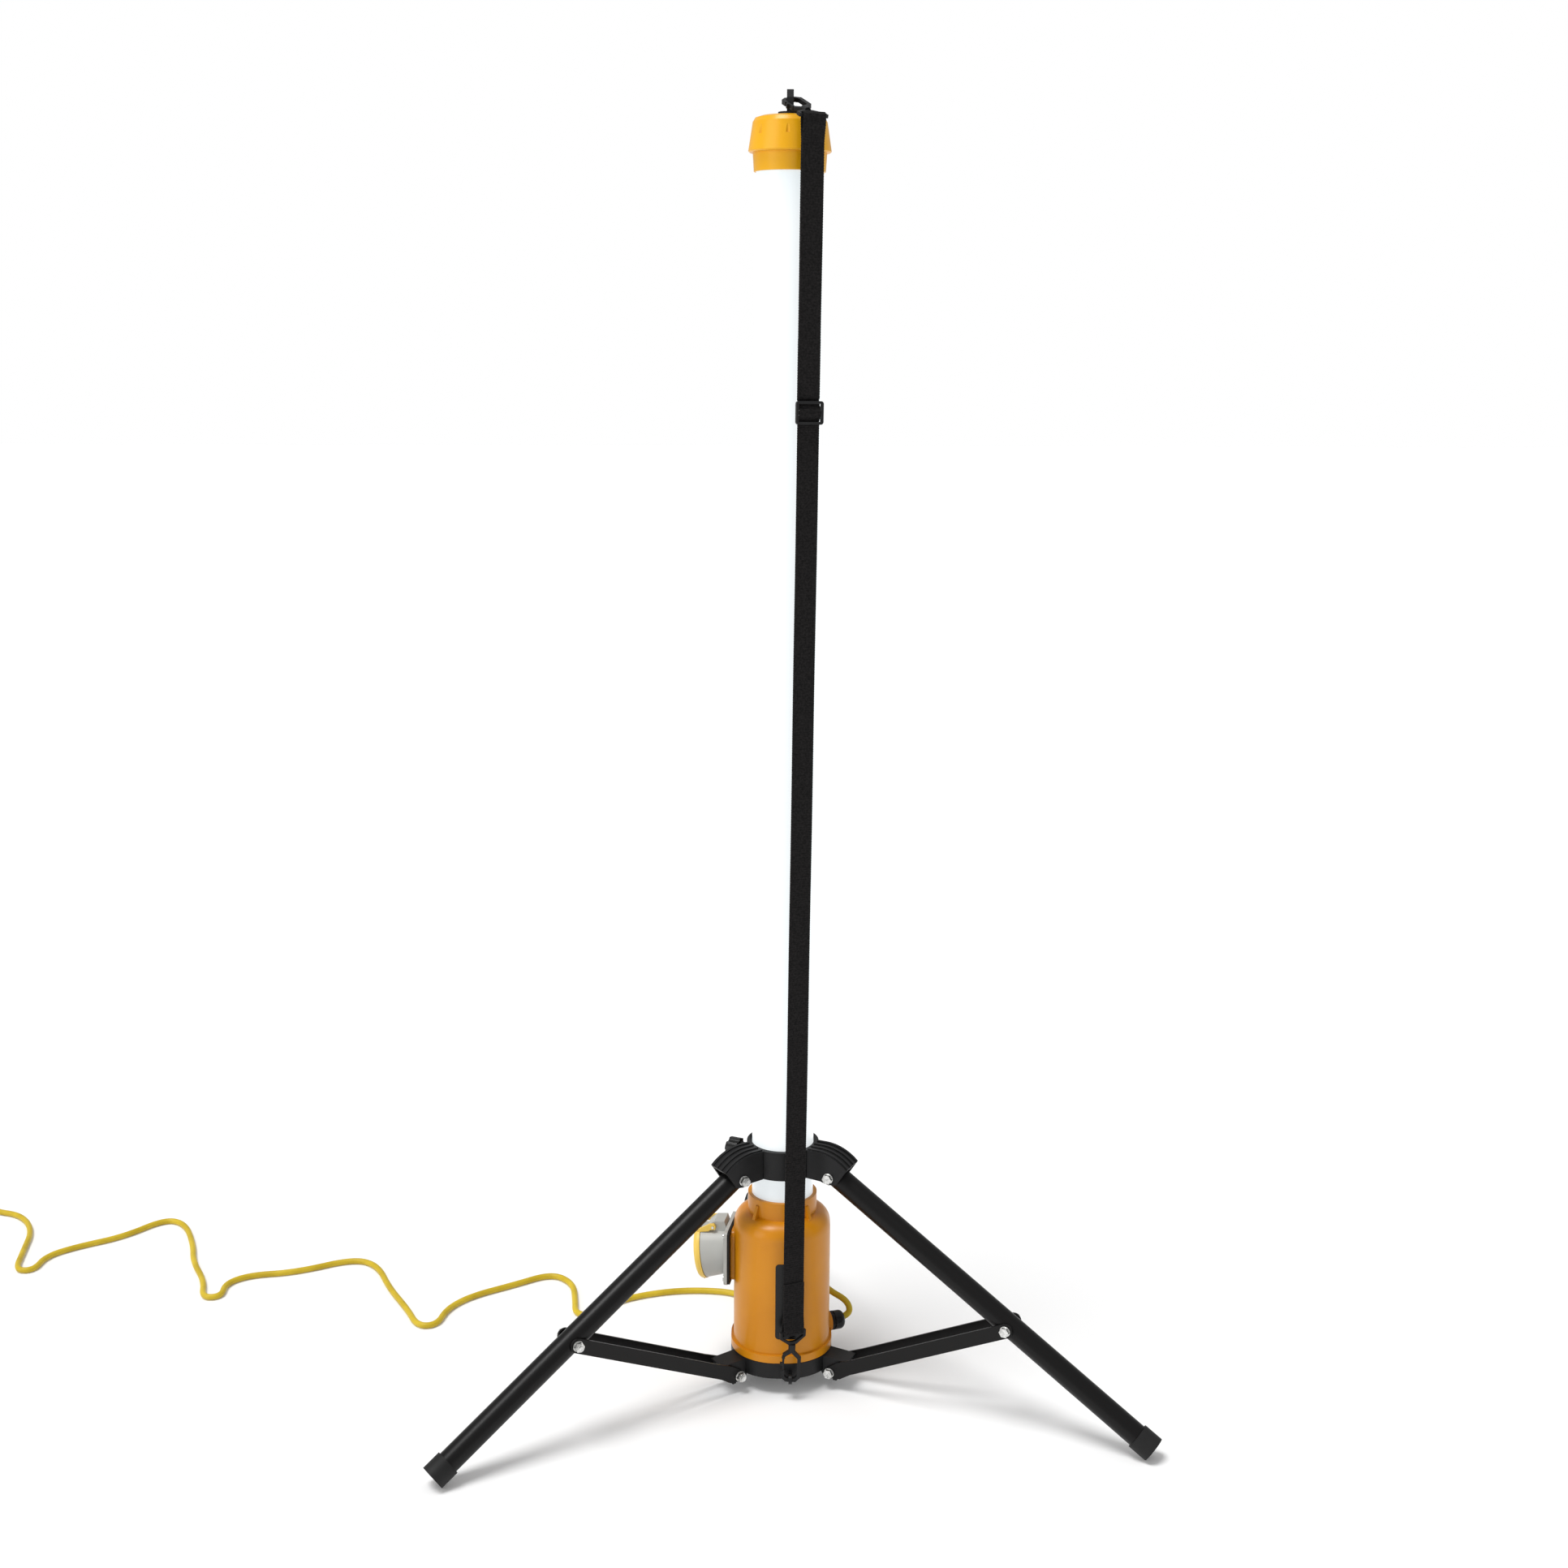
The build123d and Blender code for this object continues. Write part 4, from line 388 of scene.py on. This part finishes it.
def make_strap():
    weave = woven()
    lower = [(LAYER, LOWER_TAIL), (LAYER, LOWER_CLOSED), (BAR_LOOP, LOOP_STRAIGHT)]
    lower += bar_turn(0.0, 0, -180)
    lower += [
        (-BAR_LOOP, LOOP_STRAIGHT),
        (0, LOWER_CLOSED),
        (0, buckle_y - BUCKLE_RAMP),
        (over_bar, buckle_y - BUCKLE_OVER),
        (over_bar, buckle_y + BUCKLE_OVER),
        (0, buckle_y + BUCKLE_RAMP),
        (-LAYER, split_y),
    ]
    closed = strap_run - UPPER_CLOSED
    straight = strap_run - LOOP_STRAIGHT
    upper = [(-LAYER, split_y), (-LAYER, closed), (-BAR_LOOP, straight)]
    upper += bar_turn(strap_run, 180, -180)
    upper += [(BAR_LOOP, straight), (0, closed), (0, split_y)]
    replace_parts(webbing_mesh("strap_webbing_lower", lower, weave), "strap_lower")
    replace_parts(webbing_mesh("strap_webbing_upper", upper, weave), "strap_upper")


# ---- supply cord ------------------------------------------------------------------------------
# Millimetres here, as in part.py, and metres in what make_cord() builds.
CORD_R = 3.75
FLOOR_Z = CORD_R + 0.05
COIL_MIDDLE = (-1124.0, 509.0)
COIL_TURN_R = 44.0
COIL_TURNS = 3
COIL_STEPS = 16
COIL_OFFSETS = (CORD_R + 0.1, -CORD_R - 0.1, 0.0)
COIL_HEIGHTS = (FLOOR_Z, FLOOR_Z, FLOOR_Z + 1.74 * CORD_R)
COIL_STEP_OVER = 4             # a turn changes layer over its first quarter
CORD_ROUTE = [
    (52.7, 14.1, 53.0),
    (83.0, 22.2, 53.0),
    (83.0, 32.0, 69.0),
    (56.0, 44.0, 80.0),
    (32.0, 56.5, 112.0),
    (9.0, 60.6, 152.0),
    (-16.0, 61.3, 158.0),
    (-36.0, 60.0, 128.0),
    (-40.0, 82.0, 82.0),
    (-32.0, 122.0, 36.0),
    (-26.0, 166.0, 7.0),
    (-45.0, 194.0, FLOOR_Z),
    (-99.0, 204.0, FLOOR_Z),
    (-151.0, 197.0, FLOOR_Z),
    (-195.0, 178.0, FLOOR_Z),
    (-220.5, 142.5, FLOOR_Z),
    (-243.5, 149.5, FLOOR_Z),
    (-244.0, 184.0, FLOOR_Z),
    (-247.0, 232.0, FLOOR_Z),
    (-275.0, 262.0, FLOOR_Z),
    (-325.0, 232.0, FLOOR_Z),
    (-375.0, 206.0, FLOOR_Z),
    (-403.0, 173.0, FLOOR_Z),
    (-411.0, 133.0, FLOOR_Z),
    (-435.0, 131.0, FLOOR_Z),
    (-451.0, 176.0, FLOOR_Z),
    (-480.0, 236.0, FLOOR_Z),
    (-501.0, 301.0, FLOOR_Z),
    (-535.0, 322.0, FLOOR_Z),
    (-605.0, 288.0, FLOOR_Z),
    (-662.0, 284.0, FLOOR_Z),
    (-689.0, 262.0, FLOOR_Z),
    (-687.0, 227.0, FLOOR_Z),
    (-711.0, 225.0, FLOOR_Z),
    (-717.0, 272.0, FLOOR_Z),
    (-742.0, 328.0, FLOOR_Z),
    (-752.0, 380.0, FLOOR_Z),
    (-775.0, 446.0, FLOOR_Z),
    (-806.0, 462.0, FLOOR_Z),
    (-850.0, 410.0, FLOOR_Z),
    (-905.0, 383.0, FLOOR_Z),
    (-937.0, 357.0, FLOOR_Z),
    (-941.0, 317.5, FLOOR_Z),
    (-965.0, 318.5, FLOOR_Z),
    (-970.0, 372.0, FLOOR_Z),
    (-976.0, 440.0, FLOOR_Z),
    (-1004.0, 489.0, FLOOR_Z),
    (-1045.0, 504.0, FLOOR_Z),
    (-1080.0, 540.0, FLOOR_Z),
]
CORD_TAIL = [
    (-1170.0, 473.0, FLOOR_Z),
    (-1152.0, 448.0, FLOOR_Z + 8.0),
    (-1142.0, 426.0, 23.0),
    (-1141.5, 408.0, 23.0),
]


def coil_points():
    """Two turns side by side on the floor, then one that lies in the groove on top of them."""
    spots = []
    for step in range(COIL_TURNS * COIL_STEPS + COIL_STEPS // 4 - 1):
        turn = step / COIL_STEPS
        angle = math.pi / 2 + 2 * math.pi * turn
        layer = min(int(turn), COIL_TURNS - 1)
        blend = 1.0
        if layer and turn < COIL_TURNS:
            blend = min(1.0, (turn - int(turn)) * COIL_STEP_OVER)
        radius = COIL_TURN_R + COIL_OFFSETS[layer] * blend + COIL_OFFSETS[layer - 1] * (1 - blend)
        height = COIL_HEIGHTS[layer] * blend + COIL_HEIGHTS[layer - 1] * (1 - blend)
        x = COIL_MIDDLE[0] + radius * math.cos(angle)
        y = COIL_MIDDLE[1] + radius * math.sin(angle)
        spots.append((x, y, height))
    return spots


def make_cord():
    points = CORD_ROUTE + coil_points() + CORD_TAIL
    curve = bpy.data.curves.new("supply_cord", "CURVE")
    curve.dimensions = "3D"
    curve.bevel_depth = CORD_R * MM
    curve.bevel_resolution = 6
    curve.resolution_u = 10
    curve.use_fill_caps = True
    spline = curve.splines.new("NURBS")
    spline.points.add(len(points) - 1)
    for point, spot in zip(spline.points, points):
        point.co = (*(value * MM for value in spot), 1.0)
    spline.order_u = 3
    spline.use_endpoint_u = True
    curve.materials.append(sheath())
    cord = bpy.data.objects.new("supply_cord", curve)
    bpy.context.collection.objects.link(cord)
    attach(cord, "base")
    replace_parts(cord, "power_cord", "cord_coil", "cord_tail")


# ---- studio -----------------------------------------------------------------------------------
FLOOR_SIZE = 40.0
FLOOR_GLOW = 0.08
SKY_LIGHT = 0.5                # the sky as a light; what the camera sees behind the object is white
KEY_POWER = 2.1
SIDE_POWER = 0.7


def make_floor():
    bpy.ops.mesh.primitive_plane_add(size=FLOOR_SIZE, location=(0, 0, 0))
    floor = bpy.context.object
    floor.name = "floor"
    look = Shader("floor_white", (0.86, 0.86, 0.86), 0.9)
    look.vary_color(look.noise(0.7), (0.855, 0.855, 0.855), (0.865, 0.865, 0.865))
    look.shader.inputs["Emission Color"].default_value = (1, 1, 1, 1)
    look.shader.inputs["Emission Strength"].default_value = FLOOR_GLOW
    floor.data.materials.append(look.done())


def soft_sun(name, toward, spread, power):
    """Sunlight from a wide patch of sky, so that its shadows have soft edges."""
    data = bpy.data.lights.new(name, "SUN")
    data.angle = math.radians(spread)
    data.energy = power
    lamp = bpy.data.objects.new(name, data)
    lamp.rotation_euler = Vector(toward).to_track_quat("-Z", "Y").to_euler()
    bpy.context.collection.objects.link(lamp)


def make_studio():
    make_floor()
    world = bpy.data.worlds.new("studio")
    bpy.context.scene.world = world
    world.use_nodes = True
    background = world.node_tree.nodes["Background"]
    background.inputs["Color"].default_value = (1, 1, 1, 1)
    rays = world.node_tree.nodes.new("ShaderNodeLightPath")
    level = world.node_tree.nodes.new("ShaderNodeMapRange")
    level.inputs["To Min"].default_value = SKY_LIGHT
    level.inputs["To Max"].default_value = 1.0
    world.node_tree.links.new(rays.outputs["Is Camera Ray"], level.inputs["Value"])
    world.node_tree.links.new(level.outputs["Result"], background.inputs["Strength"])
    soft_sun("key", (0.30, 0.16, -1.0), 24.0, KEY_POWER)
    soft_sun("side", (1.0, 0.55, -0.35), 40.0, SIDE_POWER)
    scene = bpy.context.scene
    scene.view_settings.view_transform = "Standard"
    scene.view_settings.look = "None"


make_camera()
make_cord()
make_strap()
paint_nodes()
make_studio()
